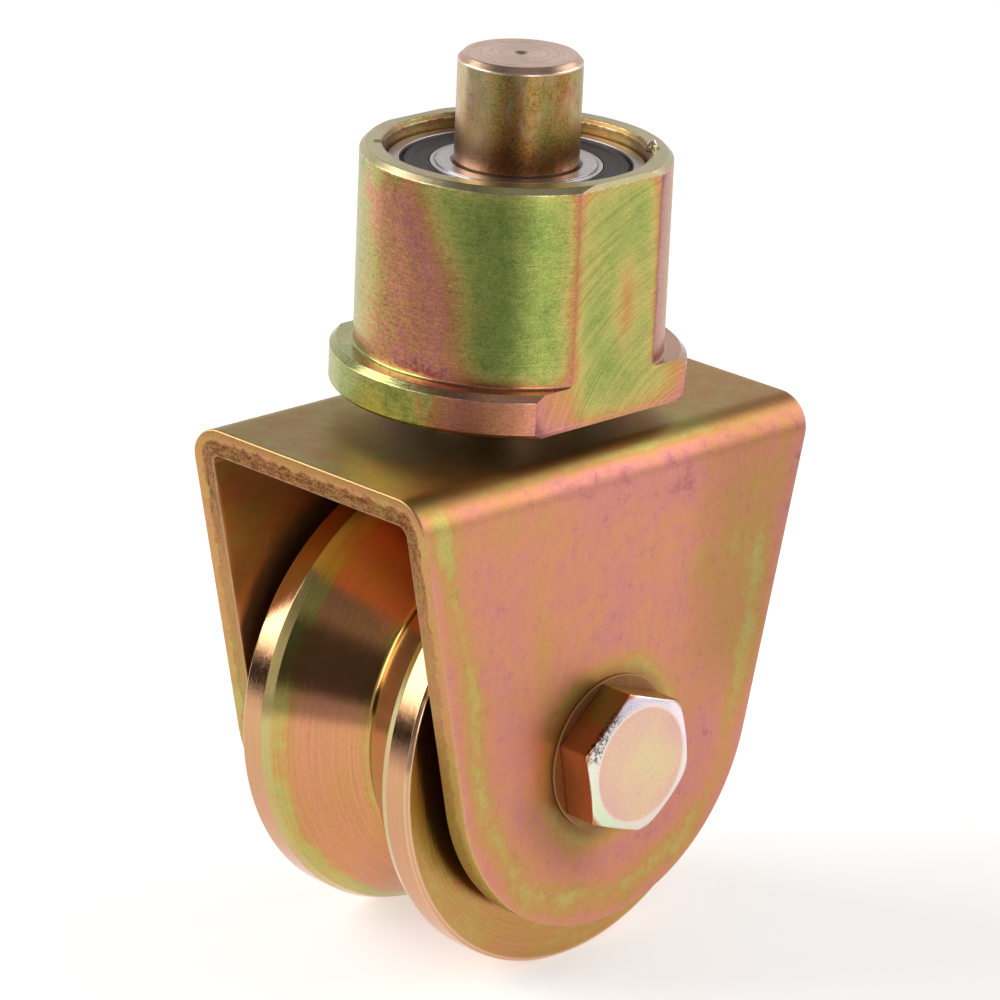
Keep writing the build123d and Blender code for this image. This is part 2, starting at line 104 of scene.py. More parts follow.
def rounded(points, radii, seg=4, closed=True):
    """A 2-D outline with its corners replaced by arcs."""
    out, n = [], len(points)
    for i, (p, r) in enumerate(zip(points, radii)):
        if r <= 0 or (not closed and i in (0, n - 1)):
            out.append(tuple(p))
            continue
        a, b = np.array(points[i - 1], float), np.array(points[(i + 1) % n], float)
        q = np.array(p, float)
        u, v = a - q, b - q
        lu, lv = np.linalg.norm(u), np.linalg.norm(v)
        u, v = u / lu, v / lv
        ang = math.acos(max(-1, min(1, float(u @ v))))
        if ang > math.pi - 0.02:
            out.append(tuple(p))
            continue
        t = min(r / math.tan(ang / 2), lu * 0.49, lv * 0.49)
        rr = t * math.tan(ang / 2)
        c = q + (u + v) / np.linalg.norm(u + v) * (rr / math.sin(ang / 2))
        s, e = q + u * t - c, q + v * t - c
        a0, a1 = math.atan2(s[1], s[0]), math.atan2(e[1], e[0])
        d = (a1 - a0 + math.pi) % (2 * math.pi) - math.pi
        k = max(2, int(round(seg * abs(d) / (math.pi / 2))) + 1)
        for j in range(k + 1):
            w = a0 + d * j / k
            out.append((c[0] + rr * math.cos(w), c[1] + rr * math.sin(w)))
    return out


def lathe(profile, axis="Z", centre=(0, 0, 0), n=192, closed=True, wobble=None):
    """Verts and faces of a turned form. profile is (radius, height) pairs; axis Y turns +height into +Y."""
    verts, faces = [], []
    m = len(profile)
    for i in range(n):
        a = 2 * math.pi * i / n
        c, s = math.cos(a), math.sin(a)
        for j, (r, h) in enumerate(profile):
            if wobble:
                r, h = wobble(a, r, h)
            if axis == "Z":
                verts.append((centre[0] + r * c, centre[1] + r * s, centre[2] + h))
            else:
                verts.append((centre[0] + r * c, centre[1] + h, centre[2] + r * s))
    last = m if closed else m - 1
    for i in range(n):
        i2 = (i + 1) % n
        for j in range(last):
            j2 = (j + 1) % m
            q = [i * m + j, i2 * m + j, i2 * m + j2, i * m + j2]
            ra, rb = profile[j][0], profile[j2][0]
            if ra < 1e-9 and rb < 1e-9:
                continue
            if ra < 1e-9:
                q = [i * m + j, i2 * m + j2, i * m + j2]
            elif rb < 1e-9:
                q = [i * m + j, i2 * m + j, i * m + j2]
            faces.append(q)
    return verts, faces


def bevel(ob, width, segments=2, angle=30):
    m = ob.modifiers.new("edge", "BEVEL")
    m.width, m.segments, m.limit_method, m.angle_limit = width * MM, segments, "ANGLE", math.radians(angle)
    m.use_clamp_overlap = True
    m.harden_normals = False
    m.miter_outer = "MITER_ARC"
    return m


def weighted(ob):
    m = ob.modifiers.new("normals", "WEIGHTED_NORMAL")
    m.mode, m.weight, m.keep_sharp = "FACE_AREA", 50, True
    return m


# ------------------------------------------------------------------ node expressions
class G:
    """Builds shader nodes from ordinary arithmetic."""

    def __init__(self, mat):
        self.t = mat.node_tree
        self.n = self.t.nodes
        self.l = self.t.links

    def new(self, kind, **props):
        node = self.n.new(kind)
        for k, v in props.items():
            setattr(node, k, v)
        return node

    def put(self, socket, value):
        if isinstance(value, V):
            value = value.s
        if isinstance(value, bpy.types.NodeSocket):
            self.l.new(value, socket)
        else:
            socket.default_value = value

    def math(self, op, *args, clamp=False):
        node = self.new("ShaderNodeMath", operation=op, use_clamp=clamp)
        for i, a in enumerate(args):
            self.put(node.inputs[i], a)
        return V(self, node.outputs[0])

    def coords(self):
        tc = self.new("ShaderNodeTexCoord")
        sep = self.new("ShaderNodeSeparateXYZ")
        sc = self.new("ShaderNodeVectorMath", operation="SCALE")
        self.l.new(tc.outputs["Object"], sc.inputs[0])
        sc.inputs["Scale"].default_value = 1000.0
        self.l.new(sc.outputs[0], sep.inputs[0])
        self.p = sc.outputs[0]
        return [V(self, sep.outputs[i]) for i in range(3)]

    def vec(self, x, y, z):
        node = self.new("ShaderNodeCombineXYZ")
        for i, a in enumerate((x, y, z)):
            self.put(node.inputs[i], a)
        return node.outputs[0]

    def noise(self, vec, scale=1.0, detail=3.0, rough=0.5, dist=0.0):
        node = self.new("ShaderNodeTexNoise")
        self.l.new(vec, node.inputs["Vector"])
        node.inputs["Scale"].default_value = scale
        node.inputs["Detail"].default_value = detail
        node.inputs["Roughness"].default_value = rough
        node.inputs["Distortion"].default_value = dist
        return V(self, node.outputs[0])

    def ramp(self, fac, stops, interp="LINEAR"):
        node = self.new("ShaderNodeValToRGB")
        node.color_ramp.interpolation = interp
        els = node.color_ramp.elements
        while len(els) > 1:
            els.remove(els[-1])
        for i, (pos, col) in enumerate(stops):
            e = els[0] if i == 0 else els.new(pos)
            e.position = pos
            e.color = (*col, 1.0)
        self.put(node.inputs[0], fac)
        return node.outputs[0]

    def mix(self, fac, a, b, blend="MIX"):
        node = self.new("ShaderNodeMix", data_type="RGBA", blend_type=blend)
        self.put(node.inputs[0], fac)
        self.put(node.inputs[6], a if isinstance(a, (V, bpy.types.NodeSocket)) else (*a, 1.0))
        self.put(node.inputs[7], b if isinstance(b, (V, bpy.types.NodeSocket)) else (*b, 1.0))
        return node.outputs[2]

    def attr(self, name):
        node = self.new("ShaderNodeAttribute", attribute_name=name)
        return V(self, node.outputs["Fac"])

    def step(self, x, a, b):
        """0 below a, 1 above b, smooth between (a may be larger than b)."""
        node = self.new("ShaderNodeMapRange", interpolation_type="SMOOTHSTEP")
        self.put(node.inputs["Value"], x)
        self.put(node.inputs["From Min"], a)
        self.put(node.inputs["From Max"], b)
        return V(self, node.outputs[0])

    def bump(self, height, strength=0.3, distance=0.05, normal=None):
        node = self.new("ShaderNodeBump")
        node.inputs["Strength"].default_value = strength
        node.inputs["Distance"].default_value = distance * MM
        self.put(node.inputs["Height"], height)
        if normal is not None:
            self.l.new(normal, node.inputs["Normal"])
        return node.outputs[0]


class V:
    def __init__(self, g, s):
        self.g, self.s = g, s

    def _b(self, op, o, r=False):
        return self.g.math(op, o, self) if r else self.g.math(op, self, o)

    def __add__(self, o): return self._b("ADD", o)
    def __radd__(self, o): return self._b("ADD", o)
    def __sub__(self, o): return self._b("SUBTRACT", o)
    def __rsub__(self, o): return self._b("SUBTRACT", o, True)
    def __mul__(self, o): return self._b("MULTIPLY", o)
    def __rmul__(self, o): return self._b("MULTIPLY", o)
    def __truediv__(self, o): return self._b("DIVIDE", o)
    def __rtruediv__(self, o): return self._b("DIVIDE", o, True)
    def __pow__(self, o): return self._b("POWER", o)
    def __neg__(self): return self * -1.0
    def min(self, o): return self._b("MINIMUM", o)
    def max(self, o): return self._b("MAXIMUM", o)
    def abs(self): return self.g.math("ABSOLUTE", self)
    def sqrt(self): return self.g.math("SQRT", self)
    def sin(self): return self.g.math("SINE", self)
    def cos(self): return self.g.math("COSINE", self)
    def frac(self): return self.g.math("FRACT", self)
    def clamp(self): return self.g.math("ADD", self, 0.0, clamp=True)
    def atan2(self, o): return self.g.math("ARCTAN2", self, o)


def srgb(r, g, b):
    """8-bit sRGB to the linear numbers that shader sockets take."""
    out = []
    for c in (r, g, b):
        c /= 255.0
        out.append(c / 12.92 if c <= 0.04045 else ((c + 0.055) / 1.055) ** 2.4)
    return tuple(out)


def material(name):
    mat = bpy.data.materials.new(name)
    mat.use_nodes = True
    mat.node_tree.nodes.clear()
    g = G(mat)
    out = g.new("ShaderNodeOutputMaterial")
    bsdf = g.new("ShaderNodeBsdfPrincipled")
    g.l.new(bsdf.outputs[0], out.inputs[0])
    g.bsdf = bsdf
    g.i = bsdf.inputs
    return mat, g


# ------------------------------------------------------------------ yellow zinc plating
FILM = [
    (0.00, srgb(132, 152, 78)),
    (0.10, srgb(164, 174, 92)),
    (0.22, srgb(198, 184, 106)),
    (0.36, srgb(206, 156, 92)),
    (0.50, srgb(218, 148, 112)),
    (0.64, srgb(214, 140, 130)),
    (0.80, srgb(164, 96, 96)),
    (1.00, srgb(120, 92, 102)),
]


def tangent(g, axis, turn=0.25):
    g.i["Anisotropic Rotation"].default_value = turn
    node = g.new("ShaderNodeTangent", direction_type="RADIAL", axis=axis)
    g.l.new(node.outputs[0], g.i["Tangent"])


def plate_finish(g, phase, rough=0.34, grain=1.0, shade=None, marks=None, mark_bump=0.25, vary=1.0,
                 mark_colour=0.10, aniso=0.0, axis=None, tint=None, edge=None, worn=(0.80, 0.74, 0.60), polish=None):
    """Plated steel: film colour from the phase, fine grain, tool marks, a shade multiplier that some callers fill with
    painted shade, and edge wear that some callers also use for painted highlights.
    """
    p = g.p
    fine = g.noise(p, 5.5, 2.0, 0.6)
    mid = g.noise(p, 0.55, 4.0, 0.6, 0.4)
    col = g.ramp((phase + (mid - 0.5) * 0.16 + (fine - 0.5) * 0.12).clamp(), FILM)
    dark = 1.0 - (g.step(fine, 0.60, 0.40) * 0.20 * grain)
    if marks is not None:
        dark = dark * (1.0 - mark_colour + (marks * 2.0 * mark_colour))
    if shade is not None:
        dark = dark * shade
    col = g.mix(1.0, col, g.vec(dark, dark, dark), "MULTIPLY")
    if tint is not None:
        col = g.mix(1.0, col, tint, "MULTIPLY")
    if edge is not None:
        col = g.mix(edge, col, worn)
    g.put(g.i["Base Color"], col)
    g.i["Metallic"].default_value = 1.0
    r = rough + (mid - 0.5) * (0.16 * vary) + (fine - 0.5) * (0.10 * vary)
    if edge is not None:
        r = r - edge * 0.10
    if polish is not None:
        r = r - polish
    g.put(g.i["Roughness"], r.clamp())
    n = g.bump(fine, 0.16 * grain, 0.03)
    if marks is not None:
        n = g.bump(marks, mark_bump, 0.04, n)
    g.l.new(n, g.i["Normal"])
    if axis:
        g.i["Anisotropic"].default_value = aniso
        tangent(g, axis)


def gauss(v, centre, width):
    d = (v - centre) / width
    return g_exp(-(d * d))


def g_exp(v):
    return v.g.math("EXPONENT", v)


# --- housing
m_housing, g = material("zinc_housing")
x, y, z = g.coords()
s = (x * 0.7100 - y * 0.7031) / HOUSING_R
wob = g.noise(g.p, 0.11, 3.0, 0.6) - 0.5
wob2 = g.noise(g.vec(x * 0.20 + 31.0, y * 0.20, z * 0.09), 1.0, 3.0, 0.55) - 0.5
flat = g.step(y.abs(), FLAT_Y - 0.10, FLAT_Y - 0.02)
half_flat = math.sqrt(HOUSING_R ** 2 - FLAT_Y ** 2)
foot_flat = math.sqrt(FLANGE_R ** 2 - FLAT_Y ** 2)
d_top = (HOUSING_H - z).max(0.0) + wob * 2.4
d_round = ((FLAT_Y - y.abs()) * 1.9).max(0.0) + wob * 2.0
d_flat = (half_flat - x.abs()).max(0.0) + wob * 2.0
d_edge = d_round * (1.0 - flat) + d_flat * flat
grit = g.noise(g.vec(x * 1.1, y * 1.1, z * 2.2), 1.0, 4.0, 0.80) - 0.5
sw = s + wob2 * 0.26 + grit * 0.50
lean = -0.50 - g.step(z, 12.0, 32.0) * 0.22
clear = 0.30 + g.step(HOUSING_H - z + wob2 * 8.0, 1.0, 5.5) * 0.70
body = 0.05 + gauss(sw, lean, 0.18) * 0.58 * clear * (1.0 - flat)
body = body + g.step(sw - lean, -0.06, -0.22) * 0.31 * clear * (1.0 - flat) - g.step(sw, -0.84, -0.98) * 0.14 * (1.0 - flat)
body = body + gauss(sw, -0.74, 0.20) * g.step(z + wob2 * 8.0, 12.0, 3.0) * 0.07 * (1.0 - flat)
body = body + g_exp(-(d_top / 1.6)) * 0.30 + g_exp(-(d_edge / 1.4)) * (0.40 - flat * 0.10)
body = body + g.step(s, 0.78, 0.90) * 0.36 * (1.0 - flat)
body = body + g.step(z + wob2 * 10.0, 3.6, 0.4) * 0.20 * (1.0 - flat) + wob2 * 0.24 + grit * 0.20
body = body + flat * 0.07
body = body + gauss(x + wob * 5.0, 2.4, 3.0) * gauss(z + wob * 6.0, 12.0, 7.0) * flat * 0.20
flange = 0.12 + g.step(s + wob2 * 0.5, -0.66, -0.36) * 0.40 + wob2 * 0.30 + grit * 0.14
tab = 0.13 + g_exp(-((foot_flat - x.abs()).max(0.0) / 3.4)) * 0.40 + g_exp(-((z + FLANGE_T).max(0.0) / 1.9)) * 0.34
tab = tab + g.step(x + wob * 6.0, -5.0, -10.0) * 0.16 + wob * 0.30 + grit * 0.16
fleck = g.noise(g.vec(x * 0.9, y * 0.9, z * 1.3), 1.0, 4.0, 0.80)
left = g.step(sw, lean + 0.22, lean - 0.08) * (1.0 - flat)
body = body - left * g.step(fleck, 0.49, 0.62) * 0.22
on_flange = g.step(z, 0.9, 0.2)
flange = flange * (1.0 - flat) + tab * flat
phase = body * (1.0 - on_flange) + flange * on_flange
rim = g.step(z, HOUSING_H - 1.0, HOUSING_H - 0.75)
inside = g.step((x * x + y * y).sqrt(), 21.9, 21.3)
phase = phase * (1.0 - rim) + (0.22 + wob2 * 0.30 + grit * 0.20) * rim
phase = phase * (1.0 - inside) + (0.33 + wob2 * 0.3) * inside
turning = g.noise(g.vec(x * 0.07, y * 0.07, z * 3.4), 1.0, 5.0, 0.75)
dashes = g.noise(g.vec(x * 0.42, y * 0.42, z * 3.0), 1.0, 4.0, 0.75)
rad = ((x - 18.0) * (x - 18.0) + (z + 17.0) * (z + 17.0)).sqrt()
milling = g.noise(g.vec(rad * 2.1, x * 0.06, z * 0.06 + 7.0), 1.0, 4.0, 0.75)
facing = g.noise(g.vec((x * x + y * y).sqrt() * 3.2, x * 0.05, y * 0.05), 1.0, 4.0, 0.7)
up = g.step(z, HOUSING_H - 0.3, HOUSING_H - 0.1)
marks = ((turning * 0.60 + dashes * 0.90 - 0.25) * (1.0 - flat) + (milling * 1.35 - 0.175) * flat) * (1.0 - up) + facing * up
foot = g.step(z, -6.4, -5.4)
shoulder_highlight = g.step(z, -1.15, -0.95) * g.step(z, 0.5, 0.1) * (1.0 - flat)
line = g_exp(-(((x.abs() - half_flat) / 0.30) * ((x.abs() - half_flat) / 0.30))) * (0.45 + g.step(x, -1.0, 1.0) * 0.55) * g.step(y.abs(), FLAT_Y - 0.7, FLAT_Y - 0.2) * g.step(z, 0.0, 1.0)
# painted shade: the bore wall above the bearing (the inside mask) is darkened by 42 %
shade = (1.0 - inside * 0.42) * (1.0 - line * 0.30) * (1.0 - g.step(g.noise(g.vec(x * 1.3, y * 1.3, z * 1.9), 1.0, 4.0, 0.85), 0.50, 0.66) * 0.30 * (1.0 - flat) * (1.0 - rim))
# painted shade: a band just right of the magenta film band is darkened, standing in for a dark reflection; the left
# flecks are film
shade = shade * (1.0 - left * g.step(fleck, 0.52, 0.40) * 0.17) * (1.0 - gauss(sw, lean + 0.08, 0.15) * g.step(z, 2.0, 10.0) * 0.22 * (1.0 - flat))
shade = shade * (1.0 - rim * 0.12) * (1.0 - g.step(s, 0.80, 0.94) * 0.25 * (1.0 - flat))
silver = g.attr("nib")
wear = g.attr("edge") * g.step(g.noise(g.p, 0.9, 3.0, 0.7), 0.40, 0.60) * (0.12 + foot * 0.38)
wear = wear * (1.0 - flat * g.step(z, 3.0, 2.0) * g.step(z, -5.6, -4.6))
# wear also lays the pale worn colour on the flange shoulder band, as a painted highlight
wear = wear.max(rim * (1.0 - inside) * 0.36).max(shoulder_highlight * 0.12).max(silver)
plate_finish(g, phase, rough=0.35, marks=marks, mark_bump=0.55, mark_colour=0.42, shade=shade, grain=1.3,
             aniso=0.5, axis="Z", edge=wear, worn=(0.80, 0.72, 0.54), polish=(shoulder_highlight * 0.14).max(silver * 0.10))

# --- stem
m_stem, g = material("zinc_stem")
x, y, z = g.coords()
s = (x * 0.7100 - y * 0.7031) / 10.0
wob2 = g.noise(g.vec(x * 0.22 + 5.0, y * 0.22, z * 0.10), 1.0, 3.0, 0.6) - 0.5
top = g.step(z, STEM_TOP - 0.25, STEM_TOP - 0.05)
cham = g.step(z, STEM_TOP - 1.35, STEM_TOP - 1.0) * (1.0 - top)
phase = 0.26 + wob2 * 0.60 + gauss(z + wob2 * 5.0, 31.5, 2.6) * 0.12 + (g.noise(g.p, 1.3, 4.0, 0.8) - 0.5) * 0.30
phase = phase * (1.0 - top) + (0.50 + wob2 * 0.2) * top
phase = phase * (1.0 - cham) + 0.40 * cham
speck = g.noise(g.vec(x * 1.9, y * 1.9, z * 2.1), 1.0, 4.0, 0.90)
centre = (x * x + y * y).sqrt() + (g.noise(g.p, 0.35, 3.0, 0.6) - 0.5) * 3.0
faced = g.noise(g.vec((x * x + y * y).sqrt() * 2.2, x * 0.10, y * 0.10), 1.0, 4.0, 0.75)
pale = g.noise(g.vec(x * 0.30 + 9.0, y * 0.30, z * 0.16), 1.0, 3.0, 0.6)
turned = g.noise(g.vec(x * 0.30, y * 0.30, z * 2.6), 1.0, 4.0, 0.75)
marks = turned * (1.0 - top) + faced * top
# painted shade: the stem is darkened across its middle and on its right side (by s); the speckle and the centre stain
# on the top are the finish
shade = 1.0 - g.step(speck, 0.47, 0.62) * 0.46 * (1.0 - top) - g.step(centre, 4.6, 1.2) * 0.14 * top - gauss(s, 0.10, 0.50) * 0.25 * (1.0 - top) * (1.0 - cham) - g.step(s, 0.30, 0.75) * 0.13 * (1.0 - top)
# random pale patches, plus painted light: the top face and the left side are lightened with the pale worn colour
pale_spots_and_painted_light = g.step(pale + (speck - 0.5) * 0.6, 0.50, 0.74) * 0.22 * (1.0 - top) + top * (0.60 + (faced - 0.5) * 1.2) + g.step(s, -0.25, -0.70) * 0.22 * (1.0 - top)
plate_finish(g, phase, rough=0.36, grain=1.6, marks=marks, mark_bump=0.30, mark_colour=0.26, shade=shade,
             tint=(0.90, 0.78, 0.72), aniso=0.35, axis="Z", edge=(cham * 0.40 + g.attr("edge") * 0.4).max(pale_spots_and_painted_light), worn=(0.86, 0.70, 0.60))

# --- fork plate
m_fork, g = material("zinc_fork")
x, y, z = g.coords()
wob = g.noise(g.p, 0.075, 3.0, 0.6) - 0.5
wob2 = g.noise(g.vec(x * 0.035 + 11.0, y * 0.03, z * 0.05), 1.0, 3.0, 0.6, 0.6) - 0.5
streak = g.noise(g.vec(x * 0.10, y * 0.05, z * 0.015), 1.0, 3.0, 0.6) - 0.5
tan_x = EAR_R * math.cos(TAPER)
tan_z = EAR_Z - EAR_R * math.sin(TAPER)
ct, st = math.cos(TAPER), math.sin(TAPER)
d_line = (tan_x * ct + (z - tan_z) * st) - (x.abs() - 0.0) * ct
d_side = (FORK_X - x.abs()).min(d_line)
d_round = EAR_R - (x * x + (z - EAR_Z) * (z - EAR_Z)).sqrt()
low = g.step(z, tan_z + 3.0, tan_z - 3.0)
d = (d_side * (1.0 - low) + d_round * low).max(0.0)
dw = d + wob * 5.0
outer_side = g.step(y.abs(), FORK_Y - 2.5, FORK_Y - 0.8)
inner = g.step(y.abs(), FORK_Y - PLATE_T + 0.6, FORK_Y - PLATE_T + 0.1) * g.step(z, FORK_TOP - PLATE_T + 0.6, FORK_TOP - PLATE_T + 0.1)
cut = g.attr("cut")
r_axle = (x * x + (z - AXLE_Z) * (z - AXLE_Z)).sqrt()
# painted shade round the bolt head: the side plate's colour turns a duller olive in this ring
bolt_shade_ring = g.step(r_axle + wob * 3.0, 18.6, 13.6) * outer_side
blot = g.noise(g.vec(x * 0.16 + 3.0, y * 0.1, z * 0.16), 1.0, 4.0, 0.65) - 0.5
mottle = g.noise(g.vec(x * 0.42, y * 0.3, z * 0.42), 1.0, 4.0, 0.75) - 0.5
side = 0.57 + wob2 * 0.42 + streak * 0.26 + blot * 0.30 + mottle * 0.28
side = side - gauss(dw, 5.4, 2.6) * 0.18 * g.step(mottle + blot, -0.20, 0.04) - g.step(dw, 7.0, 4.0) * 0.14 + g.step(dw, 2.8, 0.6) * 0.11
side = side - g.step(x + wob * 12.0, 10.0, 26.0) * g.step(z + wob * 8.0, -66.0, -46.0) * g.step(dw, 4.0, 10.0) * 0.17
side = side * (1.0 - bolt_shade_ring * 0.80) + (0.20 + g.step(r_axle, 15.5, 13.0) * 0.14) * bolt_shade_ring * 0.80
side = side + g.step(z + wob * 6.0, -26.0, -19.0) * (g.step(x + wob * 14.0, -26.0, 0.0) * 0.22 - 0.12)
roof = 0.28 + wob2 * 0.36 + streak * 0.2 + blot * 0.14 + mottle * 0.12 + g.step(x + wob * 10.0, 14.0, 34.0) * 0.10
within = 0.34 + wob2 * 0.7 + mottle * 0.2
phase = side * outer_side + roof * (1.0 - outer_side)
phase = phase * (1.0 - inner) + within * inner
edge_phase = 0.38 + (g.noise(g.p, 0.25, 3.0, 0.6) - 0.5) * 0.26 - g.step(z, -40.0, -70.0) * 0.12
phase = phase * (1.0 - cut) + edge_phase * cut
roof_only = (1.0 - outer_side) * (1.0 - inner) * (1.0 - cut)
# painted shade: the channel's inner walls slightly, and the left part of the roof by 20 %
shade = 1.0 - inner * 0.04 - roof_only * g.step(x + wob * 10.0, 8.0, -14.0) * 0.20
depth = g.attr("depth")
torn = cut * g.step(depth + (g.noise(g.p, 0.5, 3.0, 0.7) - 0.5) * 0.7, 0.34, 0.50)
over = g.step(z, FORK_TOP - 7.0, FORK_TOP - 4.5)
ragged = g.noise(g.vec(x * 0.5, y * (1.7 - over * 1.25), z * (0.45 + over * 1.35)), 1.0, 4.0, 0.72)
high = g.step(z, -40.0, -16.0)
crumbs = g.noise(g.vec(x * 0.8, y * 2.6, z * 2.6), 1.0, 4.0, 0.80)
grains = torn * g.step(crumbs + (ragged - 0.5) * 0.8, 0.42, 0.58)
burnt = (torn * (0.16 + high * 0.22) + grains * (0.16 + high * 0.42)).clamp()
shade = shade - torn * 0.06 - cut * g.step(g.noise(g.p, 3.0, 3.0, 0.75), 0.46, 0.60) * 0.08
# painted shade: a darker ring round the bolt head
shade = shade - g.step(r_axle + wob * 2.0, 15.8, 13.2) * outer_side * 0.25
# painted shade below and left of the bolt head
shade_under_bolt = g.step(z - AXLE_Z + wob * 6.0, 2.0, -9.0) * g.step(x + wob * 6.0, 3.0, -9.0) * g.step(r_axle + wob * 4.0, 25.0, 15.0) * outer_side
shade = shade - shade_under_bolt * 0.34
shade = shade - outer_side * g.step(mottle, 0.03, 0.20) * 0.12
shade = shade - outer_side * g.step(x + wob * 12.0, 10.0, 28.0) * g.step(z, -66.0, -46.0) * 0.22
brushed = g.noise(g.vec((x + z) * 0.10, y * 1.0, (x - z) * 2.8), 1.0, 4.0, 0.7)
rolled = g.noise(g.vec(x * 0.9, y * 1.4, z * 0.25), 1.0, 4.0, 0.7)
marks = brushed * cut + rolled * (1.0 - cut)
plate_finish(g, phase, rough=0.40, marks=marks, mark_bump=0.18, mark_colour=0.08, shade=shade.max(0.15),
             tint=g.mix(burnt, (1.0, 1.0, 1.0), (0.30, 0.17, 0.10)),
             grain=0.8, edge=g.attr("edge") * (0.08 + g.step(depth, 0.5, 0.8) * 0.12), worn=(0.86, 0.74, 0.58))

# --- wheel
m_wheel, g = material("zinc_wheel")
x, y, z = g.coords()
zz = z - AXLE_Z
r = (x * x + zz * zz).sqrt()
wob = g.noise(g.vec(x * 0.06, y * 0.06, zz * 0.06), 1.0, 3.0, 0.6) - 0.5
wob2 = g.noise(g.vec(x * 0.09 + 4.0, y * 0.25, zz * 0.09), 1.0, 3.0, 0.6) - 0.5
ay = y.abs()
facet = g.step(ay, 13.0, 13.2) * g.step(ay, 14.85, 14.6)
land = g.step(ay, 14.6, 14.8) * g.step(r, WHEEL_R - 0.9, WHEEL_R - 0.4)
face = g.step(ay, WHEEL_Y - 0.35, WHEEL_Y - 0.1)
flank = 0.46 + wob * 0.26 + wob2 * 0.16 - g.step(r + wob * 2.5, 35.0, 36.6) * (0.12 + g.step(wob, -0.10, 0.12) * 0.16)
flank = flank - g.step(r + wob * 1.5, 29.2, 28.0) * 0.12
side = 0.36 + wob * 0.35 + wob2 * 0.2
phase = flank * (1.0 - land) * (1.0 - face) + (0.44 + wob * 0.35) * land + side * face * (1.0 - land)
phase = phase * (1.0 - facet) + (0.25 + wob * 0.20) * facet
grooves = g.noise(g.vec(x * 0.05, r * 3.6 + y * 1.6, zz * 0.05), 1.0, 4.0, 0.70)
fine_lines = g.noise(g.vec(x * 0.05, y * 4.0, zz * 0.05), 1.0, 4.0, 0.75)
marks = (grooves * 1.3 - 0.15) * (1.0 - land) + fine_lines * land
specks = g.step(g.noise(g.p, 3.6, 3.0, 0.8), 0.68, 0.76)
grey = (land * 0.10).max(facet * 0.10).max(g.attr("edge") * 0.30 * (1.0 - g.step(ay, 15.5, 14.9) * g.step(ay, 12.4, 12.9)))
plate_finish(g, phase, rough=0.15, marks=marks, mark_bump=0.42, mark_colour=0.20, grain=0.45, vary=0.4,
             shade=0.93 - face * 0.04 - (1.0 - land) * (1.0 - face) * g.step(g.noise(g.p, 1.2, 4.0, 0.8), 0.54, 0.66) * 0.10,
             aniso=0.6, axis="Y", edge=grey.max(specks * 0.30 * (1.0 - face)), worn=(0.92, 0.82, 0.66))
for node in m_wheel.node_tree.nodes:
    if node.type == "BUMP" and node.inputs["Strength"].default_value > 0.4:
        node.inputs["Distance"].default_value = 0.05 * MM

# --- bolt, washers and nut
m_bolt, g = material("zinc_bolt")
x, y, z = g.coords()
zz = z - AXLE_Z
r = (x * x + zz * zz).sqrt()
wob = g.noise(g.vec(x * 0.12, y * 0.2, zz * 0.12), 1.0, 3.0, 0.6) - 0.5
front = g.step(y, -(FORK_Y + WASHER_T + HEAD_H) + 0.30, -(FORK_Y + WASHER_T + HEAD_H) + 0.05)
cone = g.step(r, 9.75, 10.0) * g.step(y, -(FORK_Y + WASHER_T + HEAD_H) + 1.7, -(FORK_Y + WASHER_T + HEAD_H) + 1.2)
clock = zz.atan2(x)
col = g.ramp(r / 10.5 * 0.62 + 0.18 + wob * 1.1, [(0.0, srgb(236, 226, 160)), (0.30, srgb(240, 218, 170)), (0.6, srgb(242, 206, 176)), (1.0, srgb(236, 190, 182))])
side = g.ramp(0.5 + wob * 1.6 - g.step(zz, 4.0, 11.0) * 0.5, [(0.0, srgb(168, 150, 88)), (0.35, srgb(196, 128, 86)), (0.7, srgb(204, 136, 104)), (1.0, srgb(196, 160, 110))])
wall = g.step(y.abs(), FORK_Y + WASHER_T + HEAD_H - 0.55, FORK_Y + WASHER_T + HEAD_H - 0.85)
wall = (1.0 - front) * wall.max(g.step(y, 0.0, 1.0))
col = g.mix(wall, col, side)
facet_tone = g.ramp(clock / 6.2832 + 0.5, [(0.0, srgb(236, 240, 214)), (0.14, srgb(226, 244, 206)), (0.25, srgb(246, 238, 226)), (0.55, srgb(250, 236, 240)),
                                          (0.80, srgb(244, 230, 244)), (1.0, srgb(240, 238, 220))])
col = g.mix(cone * (1.0 - wall), col, facet_tone)
rough_spots = g.step(g.noise(g.p, 1.9, 4.0, 0.8), 0.47, 0.56)
corner = g.step(clock, 1.95, 2.15) * g.step(clock, 2.98, 2.80) * cone * g.step(r, 9.9, 10.15)
col = g.mix(corner * 0.88 * rough_spots, col, srgb(74, 58, 56))
fine = g.noise(g.p, 4.5, 3.0, 0.7)
col = g.mix(g.step(fine, 0.62, 0.40) * 0.16, col, srgb(120, 84, 70))
# painted highlight: a near-white line round the edge of the bolt head's end face
rim_highlight = gauss(r, 9.75, 0.22) * front
col = g.mix(rim_highlight * 0.6, col, srgb(255, 236, 226))
g.put(g.i["Base Color"], col)
g.i["Metallic"].default_value = 1.0
g.put(g.i["Roughness"], (0.36 + (fine - 0.5) * 0.2 + front * 0.10 - cone * 0.08).clamp())
lines = g.noise(g.vec(x * 0.6, y * 3.0, zz * 2.5), 1.0, 4.0, 0.7)
g.l.new(g.bump(lines, 0.18, 0.04, g.bump(fine, 0.25, 0.03)), g.i["Normal"])

m_washer, g = material("zinc_washer")
x, y, z = g.coords()
phase = 0.40 + (g.noise(g.p, 0.2, 3.0, 0.6) - 0.5) * 0.4
marks = g.noise(g.vec(x * 0.3, y * 3.0, z * 0.3), 1.0, 3.0, 0.6)
# painted shade: the whole washer is darkened (shade 0.36 to 0.72), as the washers sit under the bolt head and the nut
plate_finish(g, phase, rough=0.48, marks=marks, mark_bump=0.2, shade=0.36 + g.noise(g.p, 0.35, 3.0, 0.6) * 0.36, edge=g.attr("edge") * 0.05, worn=(0.90, 0.76, 0.56))

